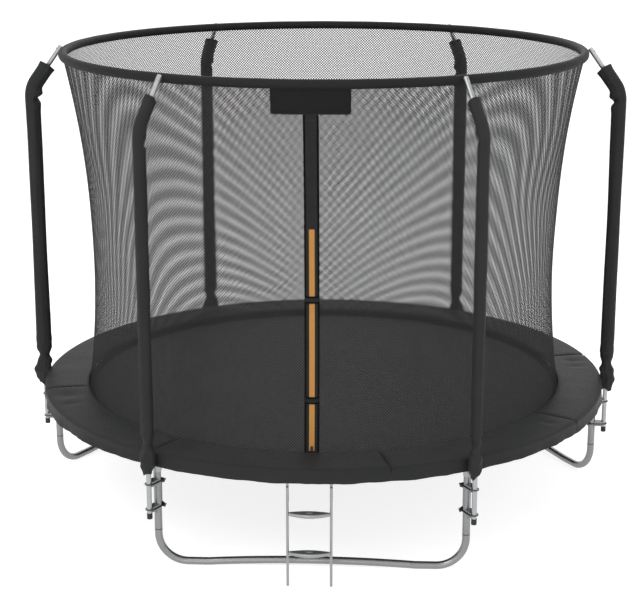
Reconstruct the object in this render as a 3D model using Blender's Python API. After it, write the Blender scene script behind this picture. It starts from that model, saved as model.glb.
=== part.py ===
"""Round garden trampoline with three U-shaped legs, six padded poles, a net and a ladder.

Lengths are metres and +Z is up. The origin is on the ground under the centre of the mat.
The entry and the ladder face -Y. Legs and poles stand every 60 degrees, from +X on.
"""
from math import asin, atan2, ceil, cos, hypot, pi, radians, sin, sqrt, tan

import bmesh
import bpy
from mathutils import Matrix, Vector

# ---- Driving dimensions ----------------------------------------------------------------
FIT = 0.0003                    # gap between pieces that touch

LEG_COUNT = 6
RAIL_RADIUS = 1.506             # centre line of the round frame
RAIL_HEIGHT = 0.556
FRAME_TUBE = 0.019              # outer radius of rails and legs
FRAME_WALL = 0.0015
RAIL_END_GAP = 0.002            # between two rails inside a socket
SOCKET_WALL = 0.0029
SOCKET_REACH = 0.065            # half the length of a socket's cross piece
SOCKET_DROP = 0.066             # the socket's stub, down from the rail's centre
SPIGOT_ROOM = 0.002             # free below an upright's spigot, above the bend
BASE_BEND = 0.145
BASE_STRAIGHT = 0.024           # from a bend of the leg base up to its open end
BASE_ARCH = 0.016               # rise of the base bar between its two feet
FOOT_LENGTH = 0.100             # flat stretch at each end of the base bar

SPRINGS_PER_RAIL = 9
SPRING_RADIUS = 0.009
SPRING_TIP = 0.002
SPRING_TAPER = 0.016
HOOP_INSET = 0.0065             # from the springs' outer tips to the hoop that joins them
HOOP_WIRE = 0.0015
MAT_GAP = 0.188                 # from the mat's edge to the round frame's centre line
MAT_THICKNESS = 0.0015
MAT_BAND_WIDTH = 0.045
MAT_BAND_RISE = 0.0015
V_RING_DEPTH = 0.027
V_RING_WIDTH = 0.030

PAD_OVERLAP = 0.018             # how far the pad covers the mat
PAD_EDGE = 0.016                # pad thickness along its rims
PAD_CROWN = 0.006               # extra thickness midway
PAD_SECTIONS = 8
PAD_SEAM_TURN = 14.5            # degrees from +X to the first seam
PAD_SEAM_DEPTH = 0.004
PAD_SEAM_HALF_WIDTH = 0.016
SKIRT_ROOM = 0.0085             # between sockets and skirt
SKIRT_THICKNESS = 0.0035
SKIRT_DROP = 0.066

POLE_TUBE = 0.0125
POLE_WALL = 0.0015
POLE_FOOT_DROP = 0.264          # below the round frame's centre line
POLE_BEND_DROP = 0.213          # from the top ring to where the straight stretches would meet
POLE_BEND_RADIUS = 0.150
POLE_PLUG = 0.040               # solid end of the pole, which holds its pin
POLE_END = 0.020                # how far the pole goes on past its pin
PIN_RADIUS = 0.006              # the pin goes through the hem to the top ring
SLEEVE_RADIUS = 0.030
SLEEVE_WALL = 0.005
SLEEVE_ROOM = 0.002             # between sleeve and skirt
SLEEVE_DROP = 0.048             # below the round frame's centre line
SLEEVE_NECK = 0.050             # gathered stretch at the sleeve's bottom
SLEEVE_BARE = 0.132             # bare pole above the sleeve

CLAMP_DROPS = (0.246, 0.115)    # below the round frame's centre line
CLAMP_ROD = 0.003
CLAMP_ROOM = 0.0005             # between clamp rod and leg
SADDLE_HEIGHT = 0.026
SADDLE_LIP = 0.004              # from a saddle's edge to the pole's centre line
CLAMP_PLATE_THICKNESS = 0.004
CLAMP_PLATE_HEIGHT = 0.020
CLAMP_PLATE_OVERHANG = 0.006
CLAMP_PLATE_WAIST = 0.020
NUT_RADIUS = 0.006
NUT_THICKNESS = 0.005

RING_INSET = 0.134              # how far the top ring is inside the round frame
RING_ABOVE_RAIL = 1.827
RING_TUBE = 0.0125
HEM_RADIUS = 0.024
HEM_SLOT = 0.017                # width of the slots that the pins pass

NET_WAIST_INSET = 0.068         # from the mat's edge in to the net's waist
NET_WAIST_RISE = 0.70325        # above the mat
NET_CURVE_RADIUS = 5.100        # radius of the net's waisted side
NET_THICKNESS = 0.001
NET_BAND_HEIGHT = 0.026
NET_BAND_THICKNESS = 0.0016
ENTRY_WIDTH = 0.072
ENTRY_THICKNESS = 0.0016
ZIP_WIDTH = 0.026
ZIP_THICKNESS = 0.0014
ZIP_RISE = 0.04325              # above the mat
ZIP_LENGTH = 1.090
SLIDER_WIDTH = 0.016
SLIDER_HEIGHT = 0.024
SLIDER_THICKNESS = 0.004
SLIDER_ROOM = 0.0008            # running gap between slider and zip
STRAP_RISES = (0.29125, 0.78825)
STRAP_WIDTH = 0.018
STRAP_THICKNESS = 0.002
STRAP_STANDOFF = 0.009          # room for the slider to pass behind
STRAP_LANDING = 0.009
STRAP_SEWN = 0.0006             # how far a strap's ends are sewn into the entry strip
SIGN_WIDTH = 0.366
SIGN_HEIGHT = 0.112
SIGN_GAP = 0.0027               # between the sign and the net's top edge
SIGN_THICKNESS = 0.003

LADDER_HALF_WIDTH = 0.104       # to the centre line of each rail
LADDER_TUBE = 0.0065
LADDER_TOP_DROP = 0.051         # below the round frame's centre line
LADDER_WELD = 0.0006            # overlap of a hook's tail and its ladder rail
HOOK_ROOM = 0.0011              # between rail and hook, which is straight on a curved rail
HOOK_THICKNESS = 0.002
HOOK_WIDTH = 0.014
HOOK_TAIL_DROP = 0.126
HOOK_WRAP = 200.0               # degrees round the rail
STEP_HEIGHTS = (0.169, 0.369)
STEP_THICKNESS = 0.019
STEP_BACK = 0.018               # behind the ladder rails' centre line
STEP_FRONT = 0.010              # in front of it, at the step's ends
STEP_BOW = 0.024                # further out at the step's middle

TUBE_SIDES = 8                  # facets round each frame tube and pole
WIRE_SIDES = 5                  # round the clamps' rods
SPRING_SIDES = 4
HOOP_SIDES = 3
RING_FACETS = 36                # along the top ring
HEM_SIDES = 8
LINING_SIDES = 5
NET_FACETS = 36                 # round the net
ZIP_ROWS = 6                    # levels of the net beside the zip
UPPER_ROWS = 2                  # and above it
BEND_STEPS = 6                  # along the legs' bends
ARCH_STEPS = 4                  # along the base bars' arches
CLAMP_BEND_STEPS = 4

# ---- Sizes that follow -----------------------------------------------------------------
LEG_ANGLES = [index * 2 * pi / LEG_COUNT for index in range(LEG_COUNT)]
BASE_ANGLES = [radians(270), radians(30), radians(150)]
SECTION = 2 * pi / LEG_COUNT
SPRING_STEP = SECTION / SPRINGS_PER_RAIL
SPRING_COUNT = LEG_COUNT * SPRINGS_PER_RAIL
SPRING_ANGLES = [(index + 0.5) * SPRING_STEP for index in range(SPRING_COUNT)]
ENTRY_ANGLE = radians(270)

LEG_SPLIT_HEIGHT = FRAME_TUBE + BASE_BEND + BASE_STRAIGHT     # an upright plugs in here
SPIGOT_LENGTH = BASE_STRAIGHT - SPIGOT_ROOM
MAT_RADIUS = RAIL_RADIUS - MAT_GAP
MAT_TOP = RAIL_HEIGHT + MAT_THICKNESS / 2
MAT_BAND_TOP = MAT_TOP + FIT + MAT_BAND_RISE
RING_RADIUS = RAIL_RADIUS - RING_INSET
RING_HEIGHT = RAIL_HEIGHT + RING_ABOVE_RAIL
POLE_BEND_HEIGHT = RING_HEIGHT - POLE_BEND_DROP
POLE_FOOT_HEIGHT = RAIL_HEIGHT - POLE_FOOT_DROP
SLEEVE_BOTTOM = RAIL_HEIGHT - SLEEVE_DROP
CLAMP_HEIGHTS = [RAIL_HEIGHT - drop for drop in CLAMP_DROPS]
NET_WAIST_RADIUS = MAT_RADIUS - NET_WAIST_INSET
SOCKET_RADIUS = FRAME_TUBE + FIT + SOCKET_WALL
PAD_INNER_RADIUS = MAT_RADIUS - PAD_OVERLAP
PAD_BOTTOM = RAIL_HEIGHT + SOCKET_RADIUS + FIT
PAD_TOP = PAD_BOTTOM + PAD_EDGE
SKIRT_INNER_RADIUS = RAIL_RADIUS + SOCKET_RADIUS + SKIRT_ROOM
PAD_RADIUS = SKIRT_INNER_RADIUS + SKIRT_THICKNESS
SKIRT_BOTTOM = PAD_TOP - SKIRT_DROP
POLE_CIRCLE = PAD_RADIUS + SLEEVE_ROOM + SLEEVE_RADIUS
NET_WAIST_HEIGHT = MAT_TOP + NET_WAIST_RISE
NET_BAND_TOP = MAT_BAND_TOP + FIT + NET_BAND_HEIGHT
NET_BOTTOM = NET_BAND_TOP + FIT
ZIP_BOTTOM = MAT_TOP + ZIP_RISE
ZIP_TOP = ZIP_BOTTOM + ZIP_LENGTH
NET_TOP = RING_HEIGHT - HEM_RADIUS - FIT
SIGN_TOP = NET_TOP - SIGN_GAP
SIGN_BOTTOM = SIGN_TOP - SIGN_HEIGHT
NET_LEVELS = [NET_BOTTOM + (ZIP_TOP - NET_BOTTOM) * row / ZIP_ROWS
              for row in range(ZIP_ROWS)]
NET_LEVELS += [ZIP_TOP + (NET_TOP - ZIP_TOP) * row / UPPER_ROWS
               for row in range(UPPER_ROWS + 1)]
RING_INWARD = POLE_CIRCLE - RING_RADIUS
POLE_SLANT = atan2(RING_INWARD, POLE_BEND_DROP)
POLE_SLANT -= asin((HEM_RADIUS + FIT + POLE_TUBE) / hypot(RING_INWARD, POLE_BEND_DROP))
PIN_DISTANCE = POLE_BEND_DROP / cos(POLE_SLANT)     # from the bend's corner
POLE_REACH = PIN_DISTANCE + POLE_END


# ---- Scene and materials ---------------------------------------------------------------
def clear_scene():
    for item in list(bpy.data.objects):
        bpy.data.objects.remove(item, do_unlink=True)


def material(name, colour, roughness, metallic=0.0):
    made = bpy.data.materials.new(name)
    made.use_nodes = True
    shader = made.node_tree.nodes["Principled BSDF"]
    shader.inputs["Base Color"].default_value = (*colour, 1.0)
    shader.inputs["Roughness"].default_value = roughness
    shader.inputs["Metallic"].default_value = metallic
    return made


def make_materials():
    return {
        "steel": material("galvanised_steel", (0.62, 0.63, 0.64), 0.38, 0.9),
        "zinc": material("zinc_plated_steel", (0.70, 0.71, 0.72), 0.30, 1.0),
        "spring": material("spring_steel", (0.55, 0.56, 0.58), 0.35, 1.0),
        "plastic": material("black_plastic", (0.03, 0.03, 0.03), 0.5),
        "sleeve": material("sleeve_fabric", (0.025, 0.026, 0.028), 0.75),
        "net": material("net_mesh", (0.03, 0.03, 0.032), 0.8),
        "webbing": material("black_webbing", (0.02, 0.02, 0.021), 0.8),
        "zip": material("orange_tape", (0.55, 0.26, 0.06), 0.7),
        "mat": material("mat_weave", (0.035, 0.036, 0.038), 0.65),
        "pad": material("pad_vinyl", (0.03, 0.031, 0.033), 0.5),
    }


# ---- Geometry helpers ------------------------------------------------------------------
def polar(radius, angle, height=0.0):
    return Vector((radius * cos(angle), radius * sin(angle), height))


def arc_points(centre, radius, start, end, steps):
    """Points (u, v) along an arc in its own plane."""
    turn = (end - start) / steps
    return [(centre[0] + radius * cos(start + turn * index),
             centre[1] + radius * sin(start + turn * index)) for index in range(steps + 1)]


def upright_path(points, along=0.0):
    """Points (x, z) as a path in the plane y = along."""
    return [Vector((x, along, z)) for x, z in points]


def path_tangents(path, closed):
    count = len(path)
    tangents = []
    for index in range(count):
        before = path[index - 1] if closed or index > 0 else path[index]
        after = path[(index + 1) % count] if closed or index < count - 1 else path[index]
        tangents.append((after - before).normalized())
    return tangents


def mitre(path, index, closed):
    """How much a section widens in the plane of the bend, to keep the tube's thickness."""
    count = len(path)
    if not closed and index in (0, count - 1):
        return 1.0
    inward = (path[index] - path[index - 1]).normalized()
    outward = (path[(index + 1) % count] - path[index]).normalized()
    return 1.0 / cos(inward.angle(outward, 0.0) / 2)


def ring_of_vertices(bm, path, tangents, index, binormal, radius, sides, closed):
    normal = binormal.cross(tangents[index]).normalized()
    wide = mitre(path, index, closed)
    ring = []
    for side in range(sides):
        angle = 2 * pi * side / sides
        offset = normal * (radius * cos(angle) * wide) + binormal * (radius * sin(angle))
        ring.append(bm.verts.new(path[index] + offset))
    return ring


def join_rings(bm, first, second):
    count = len(first)
    for index in range(count):
        after = (index + 1) % count
        bm.faces.new((first[index], first[after], second[after], second[index]))


def add_tube(bm, path, binormal, outer, inner=None, sides=TUBE_SIDES, closed=False):
    """A tube swept along a flat path; outer and inner are radii, or one radius a point."""
    tangents = path_tangents(path, closed)
    shells = []
    for radii in (outer, inner):
        if radii is None:
            continue
        listed = radii if isinstance(radii, list) else [radii] * len(path)
        rings = [ring_of_vertices(bm, path, tangents, index, binormal, radius, sides, closed)
                 for index, radius in enumerate(listed)]
        shells.append(rings)
        for first, second in zip(rings, rings[1:]):
            join_rings(bm, first, second)
        if closed:
            join_rings(bm, rings[-1], rings[0])
    if closed:
        return
    if inner is None:
        bm.faces.new(shells[0][0])
        bm.faces.new(shells[0][-1])
    else:
        join_rings(bm, shells[0][0], shells[1][0])
        join_rings(bm, shells[0][-1], shells[1][-1])


def add_prism(bm, outlines, lower, upper, place=None):
    """An outline, with any holes, drawn in u and v and extruded from lower to upper."""
    place = place or (lambda u, v, w: Vector((u, v, w)))
    edges = []
    for outline in outlines:
        corners = [bm.verts.new(place(u, v, lower)) for u, v in outline]
        for first, second in zip(corners, corners[1:] + corners[:1]):
            edges.append(bm.edges.new((first, second)))
    filled = bmesh.ops.triangle_fill(bm, use_beauty=True, use_dissolve=False, edges=edges)
    faces = [item for item in filled["geom"] if isinstance(item, bmesh.types.BMFace)]
    raised = bmesh.ops.extrude_face_region(bm, geom=faces, use_keep_orig=True)
    moved = [item for item in raised["geom"] if isinstance(item, bmesh.types.BMVert)]
    shift = place(0.0, 0.0, upper) - place(0.0, 0.0, lower)
    bmesh.ops.translate(bm, verts=moved, vec=shift)


def add_turned(bm, profile, facets, turn=0.0):
    """A closed profile (radius, height) turned about +Z."""
    rings = []
    for index in range(facets):
        angle = turn + 2 * pi * index / facets
        rings.append([bm.verts.new(polar(radius, angle, height)) for radius, height in profile])
    for first, second in zip(rings, rings[1:] + rings[:1]):
        join_rings(bm, first, second)


def add_slab(bm, near, far):
    """A closed sheet between two grids of points, near[row][column] and far[row][column]."""
    rows = len(near)
    columns = len(near[0])
    grids = [[[bm.verts.new(point) for point in row] for row in grid] for grid in (near, far)]
    for grid in grids:
        for row in range(rows - 1):
            for column in range(columns - 1):
                bm.faces.new((grid[row][column], grid[row][column + 1],
                              grid[row + 1][column + 1], grid[row + 1][column]))
    rim = [(0, column) for column in range(columns)]
    rim += [(row, columns - 1) for row in range(1, rows)]
    rim += [(rows - 1, column) for column in range(columns - 2, -1, -1)]
    rim += [(row, 0) for row in range(rows - 2, 0, -1)]
    for (row, column), (row_on, column_on) in zip(rim, rim[1:] + rim[:1]):
        bm.faces.new((grids[0][row][column], grids[0][row_on][column_on],
                      grids[1][row_on][column_on], grids[1][row][column]))


def mesh_from(name, bm, smooth=True):
    bmesh.ops.recalc_face_normals(bm, faces=bm.faces)
    mesh = bpy.data.meshes.new(name)
    bm.to_mesh(mesh)
    bm.free()
    if smooth:
        mesh.shade_smooth()
        mesh.set_sharp_from_angle(angle=radians(35))
    return mesh


def repeated_mesh(name, mesh, placements):
    """One mesh with a copy of another at each placement, as separate solids."""
    bm = bmesh.new()
    for placement in placements:
        before = len(bm.verts)
        bm.from_mesh(mesh)
        bm.verts.ensure_lookup_table()
        bmesh.ops.transform(bm, matrix=placement, verts=bm.verts[before:])
    return mesh_from(name, bm)


def place(name, mesh, surface, parent, turn=0.0):
    made = bpy.data.objects.new(name, mesh)
    bpy.context.scene.collection.objects.link(made)
    if not mesh.materials:
        mesh.materials.append(surface)
    made.rotation_euler.z = turn
    made.parent = parent
    return made


def empty(name, location, parent=None):
    made = bpy.data.objects.new(name, None)
    bpy.context.scene.collection.objects.link(made)
    made.location = location
    made.parent = parent
    return made


def turned_about_z(angle):
    return Matrix.Rotation(angle, 4, "Z")


# ---- Frame -----------------------------------------------------------------------------
def rail_point(angle):
    return polar(RAIL_RADIUS, angle, RAIL_HEIGHT)


def rail_mesh():
    """One bent rail of the round frame, centred on +X; its corners are at the springs."""
    half = SECTION / 2
    end_gap = RAIL_END_GAP / 2 / RAIL_RADIUS
    corners = [(index - (SPRINGS_PER_RAIL - 1) / 2) * SPRING_STEP
               for index in range(SPRINGS_PER_RAIL)]
    path = [rail_point(angle) for angle in corners]
    share = end_gap / (half - corners[-1])
    path.append(rail_point(half).lerp(path[-1], share))
    path.insert(0, rail_point(-half).lerp(path[0], share))
    bm = bmesh.new()
    add_tube(bm, path, Vector((0, 0, 1)), FRAME_TUBE, FRAME_TUBE - FRAME_WALL,
             sides=TUBE_SIDES)
    return mesh_from("frame_rail", bm)


def socket_path(reach):
    """The cross piece follows the first chords of the two rails that it holds."""
    middle = rail_point(0.0)
    chord = rail_point(SPRING_STEP / 2) - middle
    ahead = middle + chord.normalized() * reach
    behind = Vector((ahead.x, -ahead.y, ahead.z))
    return [behind, middle, ahead]


def socket_cross(reach, radius):
    bm = bmesh.new()
    add_tube(bm, socket_path(reach), Vector((0, 0, 1)), radius, sides=TUBE_SIDES)
    return mesh_from("cross", bm)


def round_bar(radius, bottom, top, sides=TUBE_SIDES, distance=RAIL_RADIUS):
    """A plain upright bar, so far from the centre along +X."""
    bm = bmesh.new()
    path = [Vector((distance, 0, bottom)), Vector((distance, 0, top))]
    add_tube(bm, path, Vector((0, 1, 0)), radius, sides=sides)
    return mesh_from("bar", bm)


def add_boolean(target, tool, operation):
    step = target.modifiers.new(operation.lower(), "BOOLEAN")
    step.operation = operation
    step.solver = "EXACT"
    step.object = tool
    tool.hide_render = True
    tool.display_type = "WIRE"


def applied_mesh(name, source):
    """The mesh that an object's modifiers give, and no more of the object or its tools."""
    graph = bpy.context.evaluated_depsgraph_get()
    mesh = bpy.data.meshes.new_from_object(source.evaluated_get(graph))
    mesh.name = name
    tools = [step.object for step in source.modifiers]
    for item in [source] + tools:
        bpy.data.objects.remove(item, do_unlink=True)
    mesh.shade_smooth()
    mesh.set_sharp_from_angle(angle=radians(35))
    mesh.materials.clear()
    return mesh


def fused_mesh(name, pieces, cuts=()):
    """One body from overlapping meshes, with further meshes cut out of it."""
    body, *others = [place(f"{name}_{index}", mesh, None, None)
                     for index, mesh in enumerate(pieces)]
    for other in others:
        add_boolean(body, other, "UNION")
    for index, mesh in enumerate(cuts):
        add_boolean(body, place(f"{name}_cut_{index}", mesh, None, None), "DIFFERENCE")
    return applied_mesh(name, body)


def socket_mesh():
    """A welded T: a short curved sleeve over two rail ends and a stub for the upright."""
    bottom = RAIL_HEIGHT - SOCKET_DROP
    bore = FRAME_TUBE + FIT
    pieces = [socket_cross(SOCKET_REACH, SOCKET_RADIUS),
              round_bar(SOCKET_RADIUS, bottom, RAIL_HEIGHT)]
    cuts = [socket_cross(2 * SOCKET_REACH, bore),
            round_bar(bore, bottom - SOCKET_RADIUS, RAIL_HEIGHT - SOCKET_RADIUS)]
    return fused_mesh("rail_socket", pieces, cuts)


def saddle_mesh(height):
    """A welded block on the upright, as wide as the clamp allows."""
    half = clamp_half_width() - CLAMP_ROD - FIT
    bm = bmesh.new()
    outline = [(RAIL_RADIUS, -half), (POLE_CIRCLE - SADDLE_LIP, -half),
               (POLE_CIRCLE - SADDLE_LIP, half), (RAIL_RADIUS, half)]
    add_prism(bm, [outline], height - SADDLE_HEIGHT / 2, height + SADDLE_HEIGHT / 2)
    return mesh_from("saddle", bm)


def upright_mesh():
    """A leg's upper tube: its top is in the socket, its narrow bottom in the leg base."""
    spigot = (FRAME_TUBE - FRAME_WALL) * cos(pi / TUBE_SIDES) - FIT
    top = RAIL_HEIGHT - SOCKET_RADIUS - FIT
    bottom = LEG_SPLIT_HEIGHT - SPIGOT_LENGTH
    shoulder = LEG_SPLIT_HEIGHT + FIT
    pieces = [round_bar(FRAME_TUBE, shoulder, top), round_bar(spigot, bottom, shoulder + FIT)]
    pieces += [saddle_mesh(height) for height in CLAMP_HEIGHTS]
    cuts = [round_bar(spigot - FRAME_WALL, bottom - FRAME_TUBE, top + FRAME_TUBE),
            round_bar(POLE_TUBE + FIT, POLE_FOOT_HEIGHT - FRAME_TUBE, RAIL_HEIGHT, TUBE_SIDES,
                      POLE_CIRCLE)]
    return fused_mesh("leg_upright", pieces, cuts)


def base_mesh():
    """A U-shaped leg base: two upright ends and a bar that arches between two feet."""
    half = RAIL_RADIUS * sin(SECTION / 2)
    distance = RAIL_RADIUS * cos(SECTION / 2)
    corner = [(half, LEG_SPLIT_HEIGHT)]
    corner += arc_points((half - BASE_BEND, FRAME_TUBE + BASE_BEND), BASE_BEND, 0, -pi / 2,
                         BEND_STEPS)
    foot = half - BASE_BEND - FOOT_LENGTH
    turns = [pi * index / ARCH_STEPS for index in range(ARCH_STEPS + 1)]
    arch = [(foot * cos(turn), FRAME_TUBE + BASE_ARCH * sin(turn) ** 2) for turn in turns]
    points = corner + arch + [(-across, height) for across, height in reversed(corner)]
    path = [Vector((distance, across, height)) for across, height in points]
    bm = bmesh.new()
    add_tube(bm, path, Vector((1, 0, 0)), FRAME_TUBE, FRAME_TUBE - FRAME_WALL)
    return mesh_from("leg_base", bm)


def build_frame(surfaces, root):
    rail = rail_mesh()
    socket = socket_mesh()
    upright = upright_mesh()
    base = base_mesh()
    for index, angle in enumerate(LEG_ANGLES, start=1):
        place(f"frame_rail_{index}", rail, surfaces["steel"], root, angle + SECTION / 2)
        place(f"rail_socket_{index}", socket, surfaces["steel"], root, angle)
        place(f"leg_upright_{index}", upright, surfaces["steel"], root, angle)
    for index, angle in enumerate(BASE_ANGLES, start=1):
        place(f"leg_base_{index}", base, surfaces["steel"], root, angle)


# ---- Mat, rings and springs ------------------------------------------------------------
def jump_mat_mesh():
    """The woven field, up to the inner edge of the sewn band."""
    radius = MAT_RADIUS - MAT_BAND_WIDTH - FIT
    bm = bmesh.new()
    add_prism(bm, [[polar(radius, angle).xy for angle in SPRING_ANGLES]],
              MAT_TOP - MAT_THICKNESS, MAT_TOP)
    return mesh_from("jump_mat", bm, False)


def mat_edge_mesh():
    """The mat's folded and sewn rim, with a tooth for each triangular spring ring."""
    half = V_RING_WIDTH / 2 / MAT_RADIUS
    rim, inner = [], []
    for angle in SPRING_ANGLES:
        inner.append(polar(MAT_RADIUS - MAT_BAND_WIDTH, angle).xy)
        rim += [polar(MAT_RADIUS, angle - half).xy, polar(MAT_RADIUS + V_RING_DEPTH, angle).xy,
                polar(MAT_RADIUS, angle + half).xy]
    bm = bmesh.new()
    add_prism(bm, [rim, inner], MAT_TOP - MAT_THICKNESS, MAT_BAND_TOP)
    return mesh_from("mat_edge", bm, False)


def spring_mesh():
    """The space of one coil spring between its ring and the rail, along +X."""
    near = MAT_RADIUS + V_RING_DEPTH + FIT
    far = RAIL_RADIUS - FRAME_TUBE - FIT
    path = [Vector((stop, 0, RAIL_HEIGHT)) for stop in (near, far - SPRING_TAPER, far)]
    radii = [SPRING_RADIUS, SPRING_RADIUS, SPRING_TIP]
    bm = bmesh.new()
    add_tube(bm, path, Vector((0, 0, 1)), radii, sides=SPRING_SIDES)
    return mesh_from("spring", bm)


def springs_mesh(around):
    """All springs as one body: a thin hoop near their outer hooks joins them."""
    radius = RAIL_RADIUS - FRAME_TUBE - FIT - HOOP_INSET
    path = [polar(radius, angle, RAIL_HEIGHT) for angle in SPRING_ANGLES]
    bm = bmesh.new()
    add_tube(bm, path, Vector((0, 0, 1)), HOOP_WIRE, sides=HOOP_SIDES, closed=True)
    hoop = mesh_from("hoop", bm)
    return fused_mesh("springs", [hoop, repeated_mesh("coils", spring_mesh(), around)])


def build_mat(surfaces, root):
    around = [turned_about_z(angle) for angle in SPRING_ANGLES]
    moving = empty("mat_travel", (0, 0, RAIL_HEIGHT), root)
    mat = jump_mat_mesh()
    edge = mat_edge_mesh()
    for mesh in (mat, edge):
        mesh.transform(Matrix.Translation((0, 0, -RAIL_HEIGHT)))
    place("jump_mat", mat, surfaces["mat"], moving)
    place("mat_edge", edge, surfaces["webbing"], moving)
    place("springs", springs_mesh(around), surfaces["spring"], root)


# ---- Safety pad ------------------------------------------------------------------------
def pad_profile(sunk):
    """The pad's section (radius, height); sunk lowers its top along a seam."""
    top = PAD_TOP - sunk
    width = PAD_RADIUS - PAD_INNER_RADIUS
    crown = PAD_CROWN - sunk
    profile = [(PAD_INNER_RADIUS, PAD_BOTTOM), (PAD_INNER_RADIUS, top)]
    for share in (0.2, 0.5, 0.8):
        profile.append((PAD_INNER_RADIUS + width * share, top + crown * sin(pi * share)))
    profile.append((PAD_RADIUS, top))
    profile.append((PAD_RADIUS, SKIRT_BOTTOM))
    profile.append((SKIRT_INNER_RADIUS, SKIRT_BOTTOM))
    profile.append((SKIRT_INNER_RADIUS, PAD_BOTTOM))
    return profile


def pad_stations():
    """Angles round the pad, each with how far its top is sunk there."""
    stations = []
    side = PAD_SEAM_HALF_WIDTH / PAD_RADIUS
    count = max(1, ceil(SPRING_COUNT / PAD_SECTIONS))
    for section in range(PAD_SECTIONS):
        seam = radians(PAD_SEAM_TURN) + section * 2 * pi / PAD_SECTIONS
        reach = 2 * pi / PAD_SECTIONS - 2 * side
        stations.append((seam, PAD_SEAM_DEPTH))
        stations += [(seam + side + reach * index / count, 0.0) for index in range(count + 1)]
    return stations


def build_pad(surfaces, root):
    bm = bmesh.new()
    rings = [[bm.verts.new(polar(radius, angle, height)) for radius, height in pad_profile(sunk)]
             for angle, sunk in pad_stations()]
    for first, second in zip(rings, rings[1:] + rings[:1]):
        join_rings(bm, first, second)
    place("safety_pad", mesh_from("safety_pad", bm), surfaces["pad"], root)


# ---- Poles, sleeves and clamps ---------------------------------------------------------
def slanted(distance):
    """A point (x, z) on the slanted stretch, so far beyond the bend's corner."""
    return (POLE_CIRCLE - distance * sin(POLE_SLANT),
            POLE_BEND_HEIGHT + distance * cos(POLE_SLANT))


def pole_points(bottom, reach, radius=POLE_BEND_RADIUS, steps=3):
    setback = radius * tan(POLE_SLANT / 2)
    bend = arc_points((POLE_CIRCLE - radius, POLE_BEND_HEIGHT - setback), radius,
                      0.0, POLE_SLANT, steps)
    return [(POLE_CIRCLE, bottom)] + bend + [slanted(reach)]


def tube_rings(bm, points, radius, sides):
    path = upright_path(points)
    tangents = path_tangents(path, False)
    return [ring_of_vertices(bm, path, tangents, index, Vector((0, 1, 0)), radius, sides, False)
            for index in range(len(path))]


def pole_tube_mesh():
    """A bent tube, open at its foot and plugged at its top; it passes outside the hem."""
    bm = bmesh.new()
    shells = []
    for reach, radius in ((POLE_REACH, POLE_TUBE), (POLE_REACH - POLE_PLUG, POLE_TUBE - POLE_WALL)):
        rings = tube_rings(bm, pole_points(POLE_FOOT_HEIGHT, reach), radius, TUBE_SIDES)
        for first, second in zip(rings, rings[1:]):
            join_rings(bm, first, second)
        bm.faces.new(rings[-1])
        shells.append(rings)
    join_rings(bm, shells[0][0], shells[1][0])
    return mesh_from("pole_tube", bm)


def level_bar(radius, near, far, sides):
    """A plain bar level with the top ring, from near to far along +X."""
    bm = bmesh.new()
    ends = [Vector((distance, 0, RING_HEIGHT)) for distance in (near, far)]
    add_tube(bm, ends, Vector((0, 1, 0)), radius, sides=sides)
    return mesh_from("level_bar", bm)


def pole_mesh():
    pin = level_bar(PIN_RADIUS, RING_RADIUS + RING_TUBE + FIT, slanted(PIN_DISTANCE)[0],
                    WIRE_SIDES)
    return fused_mesh("pole", [pole_tube_mesh(), pin])


def sleeve_mesh():
    """A padded tube of cloth over the pole: gathered at its bottom, open at its top."""
    points = pole_points(SLEEVE_BOTTOM, POLE_REACH - SLEEVE_BARE)
    points.insert(1, (POLE_CIRCLE, SLEEVE_BOTTOM + SLEEVE_NECK))
    gathered = POLE_TUBE + FIT
    outer = [gathered + SLEEVE_WALL] + [SLEEVE_RADIUS] * (len(points) - 1)
    inner = [gathered] + [SLEEVE_RADIUS - SLEEVE_WALL] * (len(points) - 1)
    bm = bmesh.new()
    add_tube(bm, upright_path(points), Vector((0, 1, 0)), outer, inner, sides=TUBE_SIDES)
    return mesh_from("pole_sleeve", bm)


def clamp_half_width():
    """From a clamp's middle to the centre line of its rod."""
    return FRAME_TUBE + CLAMP_ROOM + CLAMP_ROD


def clamp_plate_span():
    """Inner and outer distance of a clamp plate from the centre of the trampoline."""
    outer = RAIL_RADIUS - FRAME_TUBE - FIT
    return outer - CLAMP_PLATE_THICKNESS, outer


def u_bolt_mesh(height):
    half = clamp_half_width()
    near = clamp_plate_span()[0]
    pole_room = (POLE_TUBE + FIT + CLAMP_ROD) / cos(pi / 2 / CLAMP_BEND_STEPS)
    bend = arc_points((POLE_CIRCLE + pole_room - half, 0), half, pi / 2, -pi / 2,
                      CLAMP_BEND_STEPS)
    path = [Vector((x, y, height)) for x, y in [(near, half)] + bend + [(near, -half)]]
    bm = bmesh.new()
    add_tube(bm, path, Vector((0, 0, 1)), CLAMP_ROD, sides=WIRE_SIDES)
    return mesh_from("u_bolt", bm)


def across_plate(distance, rise, depth):
    """Places a point of an outline that is drawn on the clamp plate."""
    return Vector((depth, distance, rise))


def clamp_plate_mesh():
    """A plate behind the leg, wide at both U bolts and narrow between them."""
    end = clamp_half_width() + CLAMP_PLATE_OVERHANG
    waist = CLAMP_PLATE_WAIST / 2
    low, high = min(CLAMP_HEIGHTS), max(CLAMP_HEIGHTS)
    rise = CLAMP_PLATE_HEIGHT / 2
    right = [(end, low - rise), (end, low + rise), (waist, low + rise), (waist, high - rise),
             (end, high - rise), (end, high + rise)]
    outline = right + [(-across, height) for across, height in reversed(right)]
    bm = bmesh.new()
    add_prism(bm, [outline], *clamp_plate_span(), place=across_plate)
    return mesh_from("clamp_plate", bm)


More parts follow.
